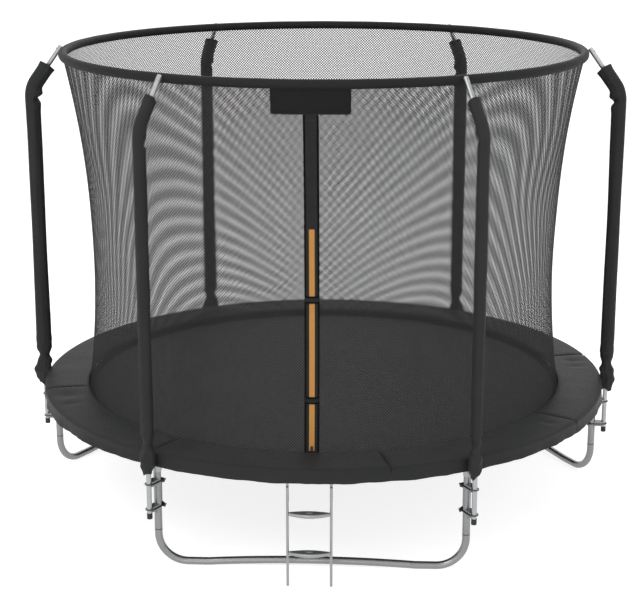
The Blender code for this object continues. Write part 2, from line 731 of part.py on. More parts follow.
def nut_mesh(across, height):
    near = clamp_plate_span()[0]
    corners = arc_points((across, height), NUT_RADIUS, 0, 2 * pi, 6)[:-1]
    bm = bmesh.new()
    add_prism(bm, [corners], near - NUT_THICKNESS, near + FIT, place=across_plate)
    return mesh_from("nut", bm)


def pole_clamp_mesh():
    """Two U bolts round pole and leg, with their plate and nuts, as one body."""
    half = clamp_half_width()
    pieces = [clamp_plate_mesh()]
    for height in CLAMP_HEIGHTS:
        pieces.append(u_bolt_mesh(height))
        pieces += [nut_mesh(across, height) for across in (-half, half)]
    return fused_mesh("pole_clamp", pieces)


def build_poles(surfaces, root):
    pole = pole_mesh()
    sleeve = sleeve_mesh()
    clamp = pole_clamp_mesh()
    for index, angle in enumerate(LEG_ANGLES, start=1):
        place(f"enclosure_pole_{index}", pole, surfaces["steel"], root, angle)
        place(f"pole_sleeve_{index}", sleeve, surfaces["sleeve"], root, angle)
        place(f"pole_clamp_{index}", clamp, surfaces["zinc"], root, angle)


# ---- Top ring and hem ------------------------------------------------------------------
def ring_mesh():
    path = [polar(RING_RADIUS, 2 * pi * index / RING_FACETS, RING_HEIGHT)
            for index in range(RING_FACETS)]
    bm = bmesh.new()
    add_tube(bm, path, Vector((0, 0, 1)), RING_TUBE, sides=TUBE_SIDES, closed=True)
    return mesh_from("top_ring", bm)


def hem_hoop(name, radius, sides):
    """A closed hoop on the top ring's centre line."""
    section = arc_points((RING_RADIUS, RING_HEIGHT), radius, 0, 2 * pi, sides)[:-1]
    bm = bmesh.new()
    add_turned(bm, section, RING_FACETS)
    return mesh_from(name, bm)


def hem_mesh():
    """The padded hem round the ring, with a slot for the pin of each pole."""
    lining = (RING_TUBE + FIT) / cos(pi / LINING_SIDES)
    cuts = []
    for angle in LEG_ANGLES:
        slot = level_bar(HEM_SLOT / 2, RING_RADIUS, POLE_CIRCLE, WIRE_SIDES)
        slot.transform(turned_about_z(angle))
        cuts.append(slot)
    cuts.append(hem_hoop("hem_lining", lining, LINING_SIDES))
    return fused_mesh("ring_hem", [hem_hoop("hem_skin", HEM_RADIUS, HEM_SIDES)], cuts)


def build_ring(surfaces, root):
    place("top_ring", ring_mesh(), surfaces["steel"], root)
    place("ring_hem", hem_mesh(), surfaces["sleeve"], root)


# ---- Net and entry ---------------------------------------------------------------------
def true_net_radius(height):
    """The waisted side of the net: an arc that is narrowest at the waist."""
    rise = height - NET_WAIST_HEIGHT
    return NET_WAIST_RADIUS + NET_CURVE_RADIUS - sqrt(NET_CURVE_RADIUS ** 2 - rise ** 2)


def net_radius(height):
    """The same side, straight between the levels that every layer of the entry shares."""
    if height <= NET_LEVELS[0]:
        return true_net_radius(height)
    upper = next((level for level in NET_LEVELS[1:] if level >= height), NET_LEVELS[-1])
    lower = NET_LEVELS[NET_LEVELS.index(upper) - 1]
    share = (height - lower) / (upper - lower)
    return true_net_radius(lower) * (1 - share) + true_net_radius(upper) * share


def faceted(radius, angle):
    """Distance from the axis on a net whose corners have this radius."""
    step = 2 * pi / NET_FACETS
    off = (angle + step / 2) % step - step / 2
    return radius * cos(step / 2) / cos(off)


def net_point(angle, height, out):
    return polar(faceted(net_radius(height) + out, angle), angle, height)


def net_sheet(bm, angles, bottom, top, inside, outside):
    """A sheet on the net, from bottom to top, with its edges at these angles."""
    levels = [bottom] + [level for level in NET_LEVELS if bottom < level < top] + [top]
    near = [[net_point(angle, height, inside) for angle in angles] for height in levels]
    far = [[net_point(angle, height, outside) for angle in angles] for height in levels]
    add_slab(bm, near, far)


def corner_angles(start, end):
    """The net's corners between two angles, with those angles at both ends."""
    step = 2 * pi / NET_FACETS
    first = ceil(start / step - 0.5)
    corners = [(index + 0.5) * step for index in range(first, first + NET_FACETS)]
    return [start] + [angle for angle in corners if start < angle < end] + [end]


def net_panel_mesh():
    """A sixth of the net, from band to hem, centred on +X."""
    half = SECTION / 2 - FIT / 2 / NET_WAIST_RADIUS
    bm = bmesh.new()
    net_sheet(bm, corner_angles(-half, half), NET_BOTTOM, NET_TOP, -NET_THICKNESS / 2,
              NET_THICKNESS / 2)
    return mesh_from("net_panel", bm)


def net_band_mesh():
    """The closed cloth band that joins the net to the edge of the mat."""
    half = NET_BAND_THICKNESS / 2
    bottom = MAT_BAND_TOP + FIT
    profile = [(net_radius(bottom) - half, bottom), (net_radius(bottom) + half, bottom),
               (net_radius(NET_BAND_TOP) + half, NET_BAND_TOP),
               (net_radius(NET_BAND_TOP) - half, NET_BAND_TOP)]
    bm = bmesh.new()
    add_turned(bm, profile, NET_FACETS, pi / NET_FACETS)
    return mesh_from("net_band", bm)


def entry_sheet(name, width, bottom, top, inside, thickness):
    """A flat tape down the middle of the entry, which lies on one facet of the net."""
    reach = width / 2 / NET_WAIST_RADIUS
    bm = bmesh.new()
    net_sheet(bm, [ENTRY_ANGLE - reach, ENTRY_ANGLE + reach], bottom, top, inside,
              inside + thickness)
    return mesh_from(name, bm, False)


def strap_mesh(height, surface_out):
    """A strap across the entry: sewn down at its ends, standing off in the middle."""
    half = ENTRY_WIDTH / 2 - STRAP_SEWN
    inner = half - STRAP_LANDING
    middle = inner - STRAP_STANDOFF
    base = -faceted(net_radius(height) + surface_out, ENTRY_ANGLE) + STRAP_SEWN
    raised = base - STRAP_STANDOFF - STRAP_SEWN
    line = [(-half, base), (-inner, base), (-middle, raised), (middle, raised),
            (inner, base), (half, base)]
    outline = line + [(x, y - STRAP_THICKNESS) for x, y in reversed(line)]
    bm = bmesh.new()
    add_prism(bm, [outline], height - STRAP_WIDTH / 2, height + STRAP_WIDTH / 2)
    return mesh_from("strap", bm, False)


def slider_pivot():
    """The axis of the zip slider's arc: far outside, level with the net's waist."""
    waist = faceted(NET_WAIST_RADIUS, ENTRY_ANGLE)
    return Vector((0, -(waist + NET_CURVE_RADIUS), NET_WAIST_HEIGHT))


def slider_mesh(surface_out):
    """The zip's slider at the bottom of the zip, drawn about its pivot."""
    inner = NET_CURVE_RADIUS - surface_out - SLIDER_ROOM
    low = ZIP_BOTTOM - NET_WAIST_HEIGHT
    grids = []
    for radius in (inner, inner - SLIDER_THICKNESS):
        grid = []
        for rise in (low, low + SLIDER_HEIGHT):
            lean = rise / NET_CURVE_RADIUS
            grid.append([Vector((x, radius * sqrt(1 - lean ** 2), radius * lean))
                         for x in (-SLIDER_WIDTH / 2, SLIDER_WIDTH / 2)])
        grids.append(grid)
    bm = bmesh.new()
    add_slab(bm, *grids)
    return mesh_from("zip_slider", bm, False)


def sign_mesh(inside):
    """A bare plate on the net above the entry."""
    reach = SIGN_WIDTH / 2 / RING_RADIUS
    bm = bmesh.new()
    net_sheet(bm, corner_angles(ENTRY_ANGLE - reach, ENTRY_ANGLE + reach),
              SIGN_BOTTOM, SIGN_TOP, inside, inside + SIGN_THICKNESS)
    return mesh_from("sign_plate", bm, False)


def build_net(surfaces, root):
    panel = net_panel_mesh()
    for index, angle in enumerate(LEG_ANGLES, start=1):
        place(f"net_panel_{index}", panel, surfaces["net"], root, angle + SECTION / 2)
    place("net_band", net_band_mesh(), surfaces["webbing"], root)
    strip_in = max(NET_THICKNESS, NET_BAND_THICKNESS) / 2 + FIT
    strip_out = strip_in + ENTRY_THICKNESS
    zip_in = strip_out + FIT
    zip_out = zip_in + ZIP_THICKNESS
    strip = entry_sheet("strip", ENTRY_WIDTH, MAT_BAND_TOP + FIT, SIGN_BOTTOM - FIT,
                        strip_in, ENTRY_THICKNESS)
    straps = [strap_mesh(MAT_TOP + rise, strip_out) for rise in STRAP_RISES]
    place("entry_strip", fused_mesh("entry_strip", [strip] + straps), surfaces["webbing"], root)
    tape = entry_sheet("zip_tape", ZIP_WIDTH, ZIP_BOTTOM, ZIP_TOP, zip_in,
                       ZIP_THICKNESS)
    place("zip_tape", tape, surfaces["zip"], root)
    place("sign_plate", sign_mesh(NET_THICKNESS / 2 + FIT), surfaces["plastic"], root)
    axis = empty("zip_slider_axis", slider_pivot(), root)
    place("zip_slider", slider_mesh(zip_out), surfaces["plastic"], axis)


# ---- Ladder ----------------------------------------------------------------------------
def ladder_axis():
    """Centre of the frame rail, between two of its corners, where the hooks hang on it."""
    corners = sorted((polar(RAIL_RADIUS, angle) for angle in SPRING_ANGLES if sin(angle) < 0),
                     key=lambda corner: corner.x)
    pairs = zip(corners, corners[1:])
    near, far = next(pair for pair in pairs if pair[1].x >= LADDER_HALF_WIDTH)
    share = (LADDER_HALF_WIDTH - near.x) / (far.x - near.x)
    return Vector((0, near.y + (far.y - near.y) * share, RAIL_HEIGHT))


def ladder_rail_distance():
    """From the hooks' axis out to the centre line of the ladder's rails."""
    return FRAME_TUBE + HOOK_ROOM + HOOK_THICKNESS - LADDER_WELD + LADDER_TUBE


def across_hook(outward, height, along):
    return Vector((along, -outward, height))


def hook_mesh(middle):
    """A flat hook over the frame rail, with a tail down behind the ladder's rail."""
    inner = FRAME_TUBE + HOOK_ROOM
    outer = inner + HOOK_THICKNESS
    wrap = radians(HOOK_WRAP)
    tail = -HOOK_TAIL_DROP
    outline = [(outer, tail)] + arc_points((0, 0), outer, 0, wrap, 10)
    outline += arc_points((0, 0), inner, wrap, 0, 10) + [(inner, tail)]
    bm = bmesh.new()
    add_prism(bm, [outline], middle - HOOK_WIDTH / 2, middle + HOOK_WIDTH / 2,
              place=across_hook)
    return mesh_from("hook", bm)


def ladder_rail_mesh(middle):
    """A ladder rail, open at both ends, with its welded hook."""
    ends = [Vector((middle, -ladder_rail_distance(), height))
            for height in (-RAIL_HEIGHT, -LADDER_TOP_DROP)]
    bm = bmesh.new()
    add_tube(bm, ends, Vector((0, 1, 0)), LADDER_TUBE, LADDER_TUBE - FRAME_WALL,
             sides=TUBE_SIDES)
    return fused_mesh("ladder_rail", [mesh_from("rail", bm), hook_mesh(middle)])


def step_mesh(height):
    """A tread between the ladder's rails, its front edge bowed outwards."""
    half = LADDER_HALF_WIDTH - LADDER_TUBE - FIT
    rails = -ladder_rail_distance()
    bowed = [(half * cos(pi * index / 8), rails - STEP_FRONT - STEP_BOW * sin(pi * index / 8))
             for index in range(9)]
    outline = [(-half, rails + STEP_BACK), (half, rails + STEP_BACK)] + bowed
    level = height - RAIL_HEIGHT
    bm = bmesh.new()
    add_prism(bm, [outline], level - STEP_THICKNESS / 2, level + STEP_THICKNESS / 2)
    return mesh_from("ladder_step", bm)


def build_ladder(surfaces, root):
    axis = empty("ladder_axis", ladder_axis(), root)
    for name, side in (("left", -1), ("right", 1)):
        rail = ladder_rail_mesh(side * LADDER_HALF_WIDTH)
        place(f"ladder_rail_{name}", rail, surfaces["steel"], axis)
    for name, height in zip(("lower", "upper"), STEP_HEIGHTS):
        place(f"ladder_step_{name}", step_mesh(height), surfaces["steel"], axis)


def main():
    clear_scene()
    surfaces = make_materials()
    root = empty("trampoline", (0, 0, 0))
    build_frame(surfaces, root)
    build_mat(surfaces, root)
    build_pad(surfaces, root)
    build_poles(surfaces, root)
    build_ring(surfaces, root)
    build_net(surfaces, root)
    build_ladder(surfaces, root)


main()
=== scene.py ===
from math import asin, atan2, cos, exp, hypot, pi, radians, sin, sqrt, tan

import bmesh
import bpy
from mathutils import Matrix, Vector, noise


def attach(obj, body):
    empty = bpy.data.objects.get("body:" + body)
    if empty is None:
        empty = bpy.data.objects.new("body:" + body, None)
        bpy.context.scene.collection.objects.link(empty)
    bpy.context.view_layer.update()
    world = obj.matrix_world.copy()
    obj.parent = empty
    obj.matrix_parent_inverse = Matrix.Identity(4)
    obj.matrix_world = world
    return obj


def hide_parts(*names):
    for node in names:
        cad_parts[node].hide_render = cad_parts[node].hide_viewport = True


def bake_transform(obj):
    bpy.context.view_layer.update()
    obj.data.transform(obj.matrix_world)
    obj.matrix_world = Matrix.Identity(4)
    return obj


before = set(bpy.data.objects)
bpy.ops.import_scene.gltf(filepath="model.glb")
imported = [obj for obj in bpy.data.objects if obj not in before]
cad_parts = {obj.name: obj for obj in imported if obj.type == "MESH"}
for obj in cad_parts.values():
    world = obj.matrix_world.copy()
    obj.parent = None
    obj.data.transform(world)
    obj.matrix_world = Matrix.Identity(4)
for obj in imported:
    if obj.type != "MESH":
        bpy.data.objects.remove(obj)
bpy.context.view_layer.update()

# ---- Sizes, as in the CAD model (metres, +Z up, entry and ladder towards -Y)
FIT, TUBE_WALL = 0.0003, 0.0015
LEG_ANGLES = [index * pi / 3 for index in range(6)]
BASE_ANGLES = [radians(270), radians(30), radians(150)]
RAIL_RADIUS, RAIL_HEIGHT, FRAME_TUBE = 1.506, 0.556, 0.019
LEG_SPLIT = 0.188
BASE_BEND, BASE_ARCH, FOOT_LENGTH = 0.145, 0.016, 0.100
SPRING_COUNT = 54
SPRING_ANGLES = [(index + 0.5) * 2 * pi / SPRING_COUNT for index in range(SPRING_COUNT)]
MAT_RADIUS, MAT_TOP, MAT_BAND, MAT_THICKNESS = 1.318, 0.55675, 0.045, 0.0015
V_DEPTH, V_WIDTH = 0.027, 0.030
PAD_INNER, PAD_OUTER, SKIRT_INNER = 1.300, 1.5402, 1.5367
PAD_BOTTOM, PAD_TOP, SKIRT_BOTTOM, PAD_CROWN = 0.5785, 0.5945, 0.5285, 0.006
PAD_SEAMS = [radians(14.5) + index * pi / 4 for index in range(8)]
POLE_CIRCLE, POLE_TUBE, POLE_FOOT = 1.5722, 0.0125, 0.292
POLE_BEND_HEIGHT, POLE_BEND_RADIUS = 2.170, 0.150
SLEEVE_RADIUS, SLEEVE_BOTTOM, SLEEVE_BARE = 0.030, 0.508, 0.132
RING_RADIUS, RING_HEIGHT, RING_TUBE, HEM_RADIUS = 1.372, 2.383, 0.0125, 0.024
RING_INWARD, RING_RISE = POLE_CIRCLE - RING_RADIUS, RING_HEIGHT - POLE_BEND_HEIGHT
POLE_SLANT = atan2(RING_INWARD, RING_RISE) \
    - asin((HEM_RADIUS + FIT + POLE_TUBE) / hypot(RING_INWARD, RING_RISE))
PIN_DISTANCE = RING_RISE / cos(POLE_SLANT)
POLE_REACH = PIN_DISTANCE + 0.020
CLAMP_HEIGHTS, CLAMP_ROD = (0.310, 0.441), 0.003
CLAMP_HALF = FRAME_TUBE + 0.0005 + CLAMP_ROD
NET_WAIST, NET_WAIST_HEIGHT, NET_CURVE = 1.250, 1.260, 5.100
NET_BAND_TOP, NET_TOP = 0.58485, RING_HEIGHT - HEM_RADIUS
ENTRY = radians(270)
STRIP_WIDTH, STRIP_GAP, STRIP_THICKNESS = 0.072, 0.0011, 0.0016
STRIP_OUT = STRIP_GAP + STRIP_THICKNESS        # from the net to the strip's face
ZIP_WIDTH, ZIP_THICKNESS = 0.026, 0.0014
ZIP_BOTTOM, ZIP_TOP = 0.600, 1.690
STRAPS = (0.848, 1.345)
NET_FOOT, BLEND_FOOT, BLEND_TOP = 0.5592, 0.575, 1.20
FLAT_HALF = pi / 36                            # the net is flat this far beside the entry
SIGN_WIDTH, SIGN_BOTTOM, SIGN_TOP = 0.366, 2.244, 2.3590
LADDER_HALF, LADDER_TUBE, LADDER_TOP = 0.104, 0.0065, 0.505
LADDER_AXIS_Y, LADDER_Y = -1.49995, -1.52795
HOOK_INNER, HOOK_THICKNESS, HOOK_WIDTH, HOOK_TAIL, HOOK_WRAP = 0.0201, 0.002, 0.014, 0.430, 200
STEPS = (("lower", 0.169), ("upper", 0.369))


# ---- Shapes
def polar(radius, angle, height=0.0):
    return Vector((radius * cos(angle), radius * sin(angle), height))


def smooth(value, low, high):
    share = min(1.0, max(0.0, (value - low) / (high - low)))
    return share * share * (3 - 2 * share)


def bump_at(value, centre, width):
    return exp(-((value - centre) / width) ** 2)


def rough(x, y, z):
    """Smooth noise between about -1 and 1."""
    return noise.noise(Vector((x, y, z)))


def aside(angle, other):
    """The turn from the other angle to this one, from -pi to pi."""
    return (angle - other + pi) % (2 * pi) - pi


def spread(low, high, count):
    """Evenly spaced values from low to high, with both."""
    return [low + (high - low) * number / count for number in range(count + 1)]


def rounds(count):
    """Angles evenly spaced round the circle."""
    return [2 * pi * number / count for number in range(count)]


def upright(points):
    """Points (distance from the centre, height) in the plane y = 0."""
    return [Vector((x, 0, z)) for x, z in points]


def arc(centre, radius, start, end, steps):
    return [(centre[0] + radius * cos(around), centre[1] + radius * sin(around))
            for around in spread(start, end, steps)]


def turn(points, angle):
    """Points turned about +Z."""
    cosine, sine = cos(angle), sin(angle)
    return [Vector((p[0] * cosine - p[1] * sine, p[0] * sine + p[1] * cosine, p[2]))
            for p in points]


class Shape:
    """Points, faces and each face corner's place on the flat material, in metres."""

    def __init__(self):
        self.points, self.faces, self.flat = [], [], []

    def grid(self, rows, flat=None, close=False, ring=False):
        """Quads between rows; close joins the last row to the first, ring a row's ends."""
        flat = flat or (lambda row, column: (row * 0.01, column * 0.01))
        base, count, width = len(self.points), len(rows), len(rows[0])
        for row in rows:
            self.points.extend(row)
        for row in range(count if close else count - 1):
            for column in range(width if ring else width - 1):
                corners = ((row, column), (row, column + 1),
                           (row + 1, column + 1), (row + 1, column))
                self.faces.append([base + (r % count) * width + c % width
                                   for r, c in corners])
                self.flat.append([flat(r, c) for r, c in corners])
        return base

    def cap(self, first, count):
        self.faces.append(list(range(first, first + count)))
        self.flat.append([(0.0, 0.0)] * count)

    def solid(self, rows, flat=None):
        """Rings of points joined one to the next, with a face over both ends."""
        base, width = self.grid(rows, flat, False, True), len(rows[0])
        self.cap(base, width)
        self.cap(base + (len(rows) - 1) * width, width)

    def tube(self, path, radius, sides=16, closed=False, caps=True):
        """A round tube along a path; radius is one number or one for each point."""
        radii = radius if isinstance(radius, list) else [radius] * len(path)
        frames = path_frames(path, closed)
        rows, along, done = [], [0.0], 0.0
        for index, point in enumerate(path):
            first, second = frames[index]
            rows.append([point + first * (radii[index] * cos(around))
                         + second * (radii[index] * sin(around))
                         for around in rounds(sides)])
            done += (path[(index + 1) % len(path)] - point).length
            along.append(done)
        girth = 2 * pi * max(radii) / sides
        if caps and not closed:
            self.solid(rows, lambda r, c: (c * girth, along[r]))
        else:
            self.grid(rows, lambda r, c: (c * girth, along[r]), closed, True)

    def prism(self, outline, low, high, place):
        """An outline (u, v) with flat ends at low and high, put in place by place(u, v, w)."""
        self.solid([[place(u, v, w) for u, v in outline] for w in (low, high)])


def path_frames(path, closed):
    """Two directions across the path at each point, turned as little as possible."""
    count, frames, first = len(path), [], None
    for index in range(count):
        before = path[index - 1] if closed or index > 0 else path[index]
        after = path[(index + 1) % count] if closed or index < count - 1 else path[index]
        tangent = (after - before).normalized()
        if first is None:
            first = tangent.cross(Vector((0, 0, 1)))
            if first.length < 0.1:
                first = tangent.cross(Vector((0, 1, 0)))
        first = (first - tangent * first.dot(tangent)).normalized()
        frames.append((first, tangent.cross(first)))
    return frames


def piece(name, shape, look, body=None, stands_for=(), sharp=35, bevel=0.0):
    """Makes one object of a shape; with a body it rides on that."""
    mesh = bpy.data.meshes.new(name)
    mesh.from_pydata([tuple(point) for point in shape.points], [], shape.faces)
    layer = mesh.uv_layers.new(name="cloth")
    flat = [pair for corner in shape.flat for pair in corner]
    layer.data.foreach_set("uv", [value for pair in flat for value in pair])
    work = bmesh.new()
    work.from_mesh(mesh)
    bmesh.ops.recalc_face_normals(work, faces=work.faces)
    work.to_mesh(mesh)
    work.free()
    mesh.shade_smooth()
    mesh.set_sharp_from_angle(angle=radians(sharp))
    mesh.materials.append(LOOKS[look])
    made = bpy.data.objects.new(name, mesh)
    bpy.context.scene.collection.objects.link(made)
    if bevel:
        step = made.modifiers.new("edges", "BEVEL")
        step.width, step.segments, step.limit_method = bevel, 2, "ANGLE"
        step.harden_normals = False
    if body:
        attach(made, body)
    if stands_for:
        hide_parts(*stands_for)
    return made


# ---- Materials
class Nodes:
    """Short ways to add shader nodes to a material or a world."""

    def __init__(self, tree):
        self.tree = tree

    def set(self, node, values):
        for key, value in values.items():
            socket = node.inputs[key]
            if isinstance(value, bpy.types.NodeSocket):
                self.tree.links.new(value, socket)
            else:
                socket.default_value = value

    def node(self, kind, inputs=None, **settings):
        made = self.tree.nodes.new("ShaderNode" + kind)
        for key, value in settings.items():
            setattr(made, key, value)
        self.set(made, inputs or {})
        return made

    def math(self, operation, first, second=0.5, third=0.5):
        return self.node("Math", {0: first, 1: second, 2: third},
                         operation=operation).outputs[0]

    def between(self, value, low, high, to_low=0.0, to_high=1.0):
        return self.node("MapRange", {"Value": value, "From Min": low, "From Max": high,
                                      "To Min": to_low, "To Max": to_high}
                         ).outputs["Result"]

    def seen(self):
        """1 for what the camera sees, also in a gloss or through glass, and 0 for light."""
        path = self.node("LightPath").outputs
        return self.math("MAXIMUM", path["Is Camera Ray"],
                         self.math("MAXIMUM", path["Is Glossy Ray"],
                                   path["Is Transmission Ray"]))


class Look(Nodes):
    """A Principled material."""

    def __init__(self, name, colour, roughness, metallic=0.0, **sockets):
        self.material = bpy.data.materials.new(name)
        self.material.use_nodes = True
        super().__init__(self.material.node_tree)
        self.shader = self.tree.nodes["Principled BSDF"]
        self.set(self.shader, {"Base Color": (*colour, 1.0), "Roughness": roughness,
                               "Metallic": metallic, **sockets})
        self.colour = colour

    def place(self):
        return self.node("TexCoord").outputs["Object"]

    def flat(self):
        return self.node("UVMap", uv_map="cloth").outputs["UV"]

    def noise(self, scale, detail=3.0):
        return self.node("TexNoise", {"Vector": self.place(), "Scale": scale,
                                      "Detail": detail, "Roughness": 0.5}).outputs["Fac"]

    def uneven(self, scale, detail, low, high):
        """Roughness that changes in patches from low to high."""
        self.set(self.shader, {"Roughness": self.between(self.noise(scale, detail),
                                                         0.3, 0.7, low, high)})

    def tint(self, factor, dark, light):
        """The base colour between two shares of itself."""
        shades = [(*(min(1.0, part * share) for part in self.colour), 1.0)
                  for share in (dark, light)]
        mixed = self.node("Mix", {"Factor": factor}, data_type="RGBA")
        mixed.inputs[6].default_value, mixed.inputs[7].default_value = shades
        self.set(self.shader, {"Base Color": mixed.outputs[2]})

    def bump(self, height, strength, distance):
        made = self.node("Bump", {"Height": height, "Strength": strength,
                                  "Distance": distance})
        self.set(self.shader, {"Normal": made.outputs["Normal"]})

    def threads(self, pitch):
        """A woven height pattern of two crossing sets of threads."""
        parts = self.node("SeparateXYZ", {0: self.flat()})
        waves = [self.math("SINE", self.math("MULTIPLY", parts.outputs[axis],
                                             2 * pi / pitch)) for axis in (0, 1)]
        return self.math("MULTIPLY", waves[0], waves[1])


def cloth_look(name, colour, roughness, pitch=0.0016, weave=0.25, patch=7.0, spread=0.22,
               shine=0.18):
    look = Look(name, colour, roughness, **{"Specular IOR Level": shine})
    look.tint(look.noise(patch, 4.0), 1 - spread, 1 + spread)
    look.uneven(90.0, 2.0, roughness - 0.07, roughness + 0.07)
    height = look.math("MULTIPLY_ADD", look.noise(45.0, 3.0), 1.2, look.threads(pitch))
    look.bump(height, weave, 0.0006)
    return look.material


def steel_look(name, colour, roughness):
    """Galvanised steel: faint crystals, streaks and duller patches."""
    look = Look(name, colour, roughness, 0.9)
    crystals = look.node("TexVoronoi", {"Vector": look.place(), "Scale": 130.0}
                         ).outputs["Color"]
    grey = look.node("RGBToBW", {0: crystals}).outputs[0]
    blend = look.math("MULTIPLY_ADD", look.noise(9.0, 4.0), 0.7,
                      look.math("MULTIPLY", grey, 0.3))
    look.tint(blend, 0.86, 1.1)
    look.uneven(22.0, 4.0, roughness - 0.07, roughness + 0.10)
    look.bump(look.noise(300.0, 2.0), 0.05, 0.0004)
    return look.material


def plastic_look(name, colour, roughness):
    look = Look(name, colour, roughness)
    look.tint(look.noise(25.0, 3.0), 0.85, 1.15)
    look.uneven(60.0, 2.0, roughness - 0.05, roughness + 0.08)
    look.bump(look.noise(700.0, 2.0), 0.2, 0.0003)
    return look.material


def net_look(name, colour):
    """Knitted net: diagonal strands that cross, and nothing between them."""
    look = Look(name, colour, 0.8, **{"Specular IOR Level": 0.1})
    parts = look.node("SeparateXYZ", {0: look.flat()})
    step = NET_PITCH * sqrt(2)
    strands = []
    for operation in ("ADD", "SUBTRACT"):
        across = look.math(operation, parts.outputs[0], parts.outputs[1])
        away = look.math("PINGPONG", look.math("DIVIDE", across, step), 0.5)
        edge = NET_STRAND / NET_PITCH / 2
        strands.append(look.between(away, edge * 0.9, edge * 1.1, 1.0, 0.0))
    solid = look.math("MAXIMUM", *strands)
    look.tint(look.noise(30.0, 2.0), 0.85, 1.15)
    clear = look.node("BsdfTransparent")
    mixed = look.node("MixShader", {0: solid, 1: clear.outputs[0],
                                    2: look.shader.outputs[0]})
    look.set(look.tree.nodes["Material Output"], {"Surface": mixed.outputs[0]})
    return look.material


def mat_look(name, colour):
    """Tight plastic weave: flat strips over and under each other, with a dull shine."""
    look = Look(name, colour, 0.62, **{"Specular IOR Level": 0.2})
    weave = look.threads(0.006)
    coarse = look.math("MULTIPLY_ADD", look.noise(2.2, 3.0), 0.6,
                       look.math("MULTIPLY", weave, 0.25))
    look.tint(look.between(coarse, 0.0, 0.6), 0.86, 1.14)
    look.set(look.shader, {"Roughness": look.between(weave, -1.0, 1.0, 0.55, 0.72)})
    look.bump(look.math("MULTIPLY_ADD", look.noise(160.0, 2.0), 0.5, weave), 0.35, 0.0006)
    return look.material


NET_PITCH, NET_STRAND = 0.0110, 0.0037
LOOKS = {
    "steel": steel_look("galvanised_tube", (0.40, 0.405, 0.41), 0.36),
    # The poles' galvanised steel again, darker for the legs and base bars: the darkening is
    # painted shade.
    "leg": steel_look("leg_steel_painted_shade", (0.265, 0.268, 0.272), 0.31),
    "rung": steel_look("ladder_tube", (0.33, 0.334, 0.34), 0.34),
    # Lighter than the tread's steel, for the oval in the tread's slot: a painted highlight.
    "zinc": steel_look("zinc_plate_painted_highlight", (0.42, 0.425, 0.43), 0.34),
    # Darker than plain zinc, for the clamps and the leg joints' rims; on the zinc-plated spring
    # rings this dark colour is painted shade.
    "bolt": steel_look("dark_zinc_and_painted_shade", (0.11, 0.11, 0.115), 0.42),
    "spring": steel_look("spring_wire", (0.38, 0.385, 0.40), 0.36),
    "pad": cloth_look("pad_cover", (0.026, 0.0265, 0.0275), 0.58, 0.0022, 0.14, 5.0, 0.10),
    "sleeve": cloth_look("sleeve_cover", (0.030, 0.0305, 0.0315), 0.62, 0.0018, 0.3, 8.0, 0.16),
    "hem": cloth_look("hem_cover", (0.0165, 0.017, 0.018), 0.65, 0.0018, 0.3, 8.0, 0.16),
    "webbing": cloth_look("webbing", (0.029, 0.029, 0.0302), 0.70, 0.0030, 0.5, 12.0, 0.2, 0.12),
    "orange": cloth_look("orange_tape", (0.66, 0.325, 0.088), 0.62, 0.0024, 0.15, 12.0, 0.08),
    # Dark binding for the entry's edges and the pad's seams; the same colour behind the straps is
    # painted shadow.
    "edge": cloth_look("edge_binding_and_painted_shadow", (0.0060, 0.0060, 0.0063), 0.70, 0.0024, 0.3, 12.0, 0.15,
                       0.08),
    "stitch": cloth_look("stitch_thread", (0.060, 0.061, 0.064), 0.6, 0.0009, 0.4, 20.0, 0.2),
    "net": net_look("net_strands", (0.049, 0.0495, 0.0505)),
    "mat": mat_look("mat_weave_strips", (0.059, 0.060, 0.062)),
    "sign": cloth_look("sign_cloth", (0.011, 0.011, 0.0115), 0.5, 0.0012, 0.15, 6.0, 0.1, 0.12),
    "grip": plastic_look("step_grip", (0.095, 0.096, 0.098), 0.6),
    "plastic": plastic_look("black_moulding", (0.022, 0.022, 0.023), 0.5),
}


# ---- Camera, floor and light
CAMERA_AZIMUTH, CAMERA_DISTANCE, CAMERA_HEIGHT = 272.5, 8.644, 3.351
CAMERA_TILT, CAMERA_PAN = 15.18, 0.11          # degrees down and to the left
SENSOR_WIDTH, FOCAL_PIXELS, PHOTO_PIXELS = 36.0, 1616.9, 641
FLOOR_GLOW, SKY_LIGHT = 0.80, 0.56
LAMP_SIZE, LAMP_AIM = 4.0, Vector((0, 0, 1.0))
LAMPS = [("key", (-4.5, -6.5, 7.5), 230.0), ("fill", (6.5, -4.0, 4.5), 80.0),
         ("front", (-1.5, -9.5, 1.6), 70.0), ("back", (0.1, 7.0, 6.0), 130.0)]


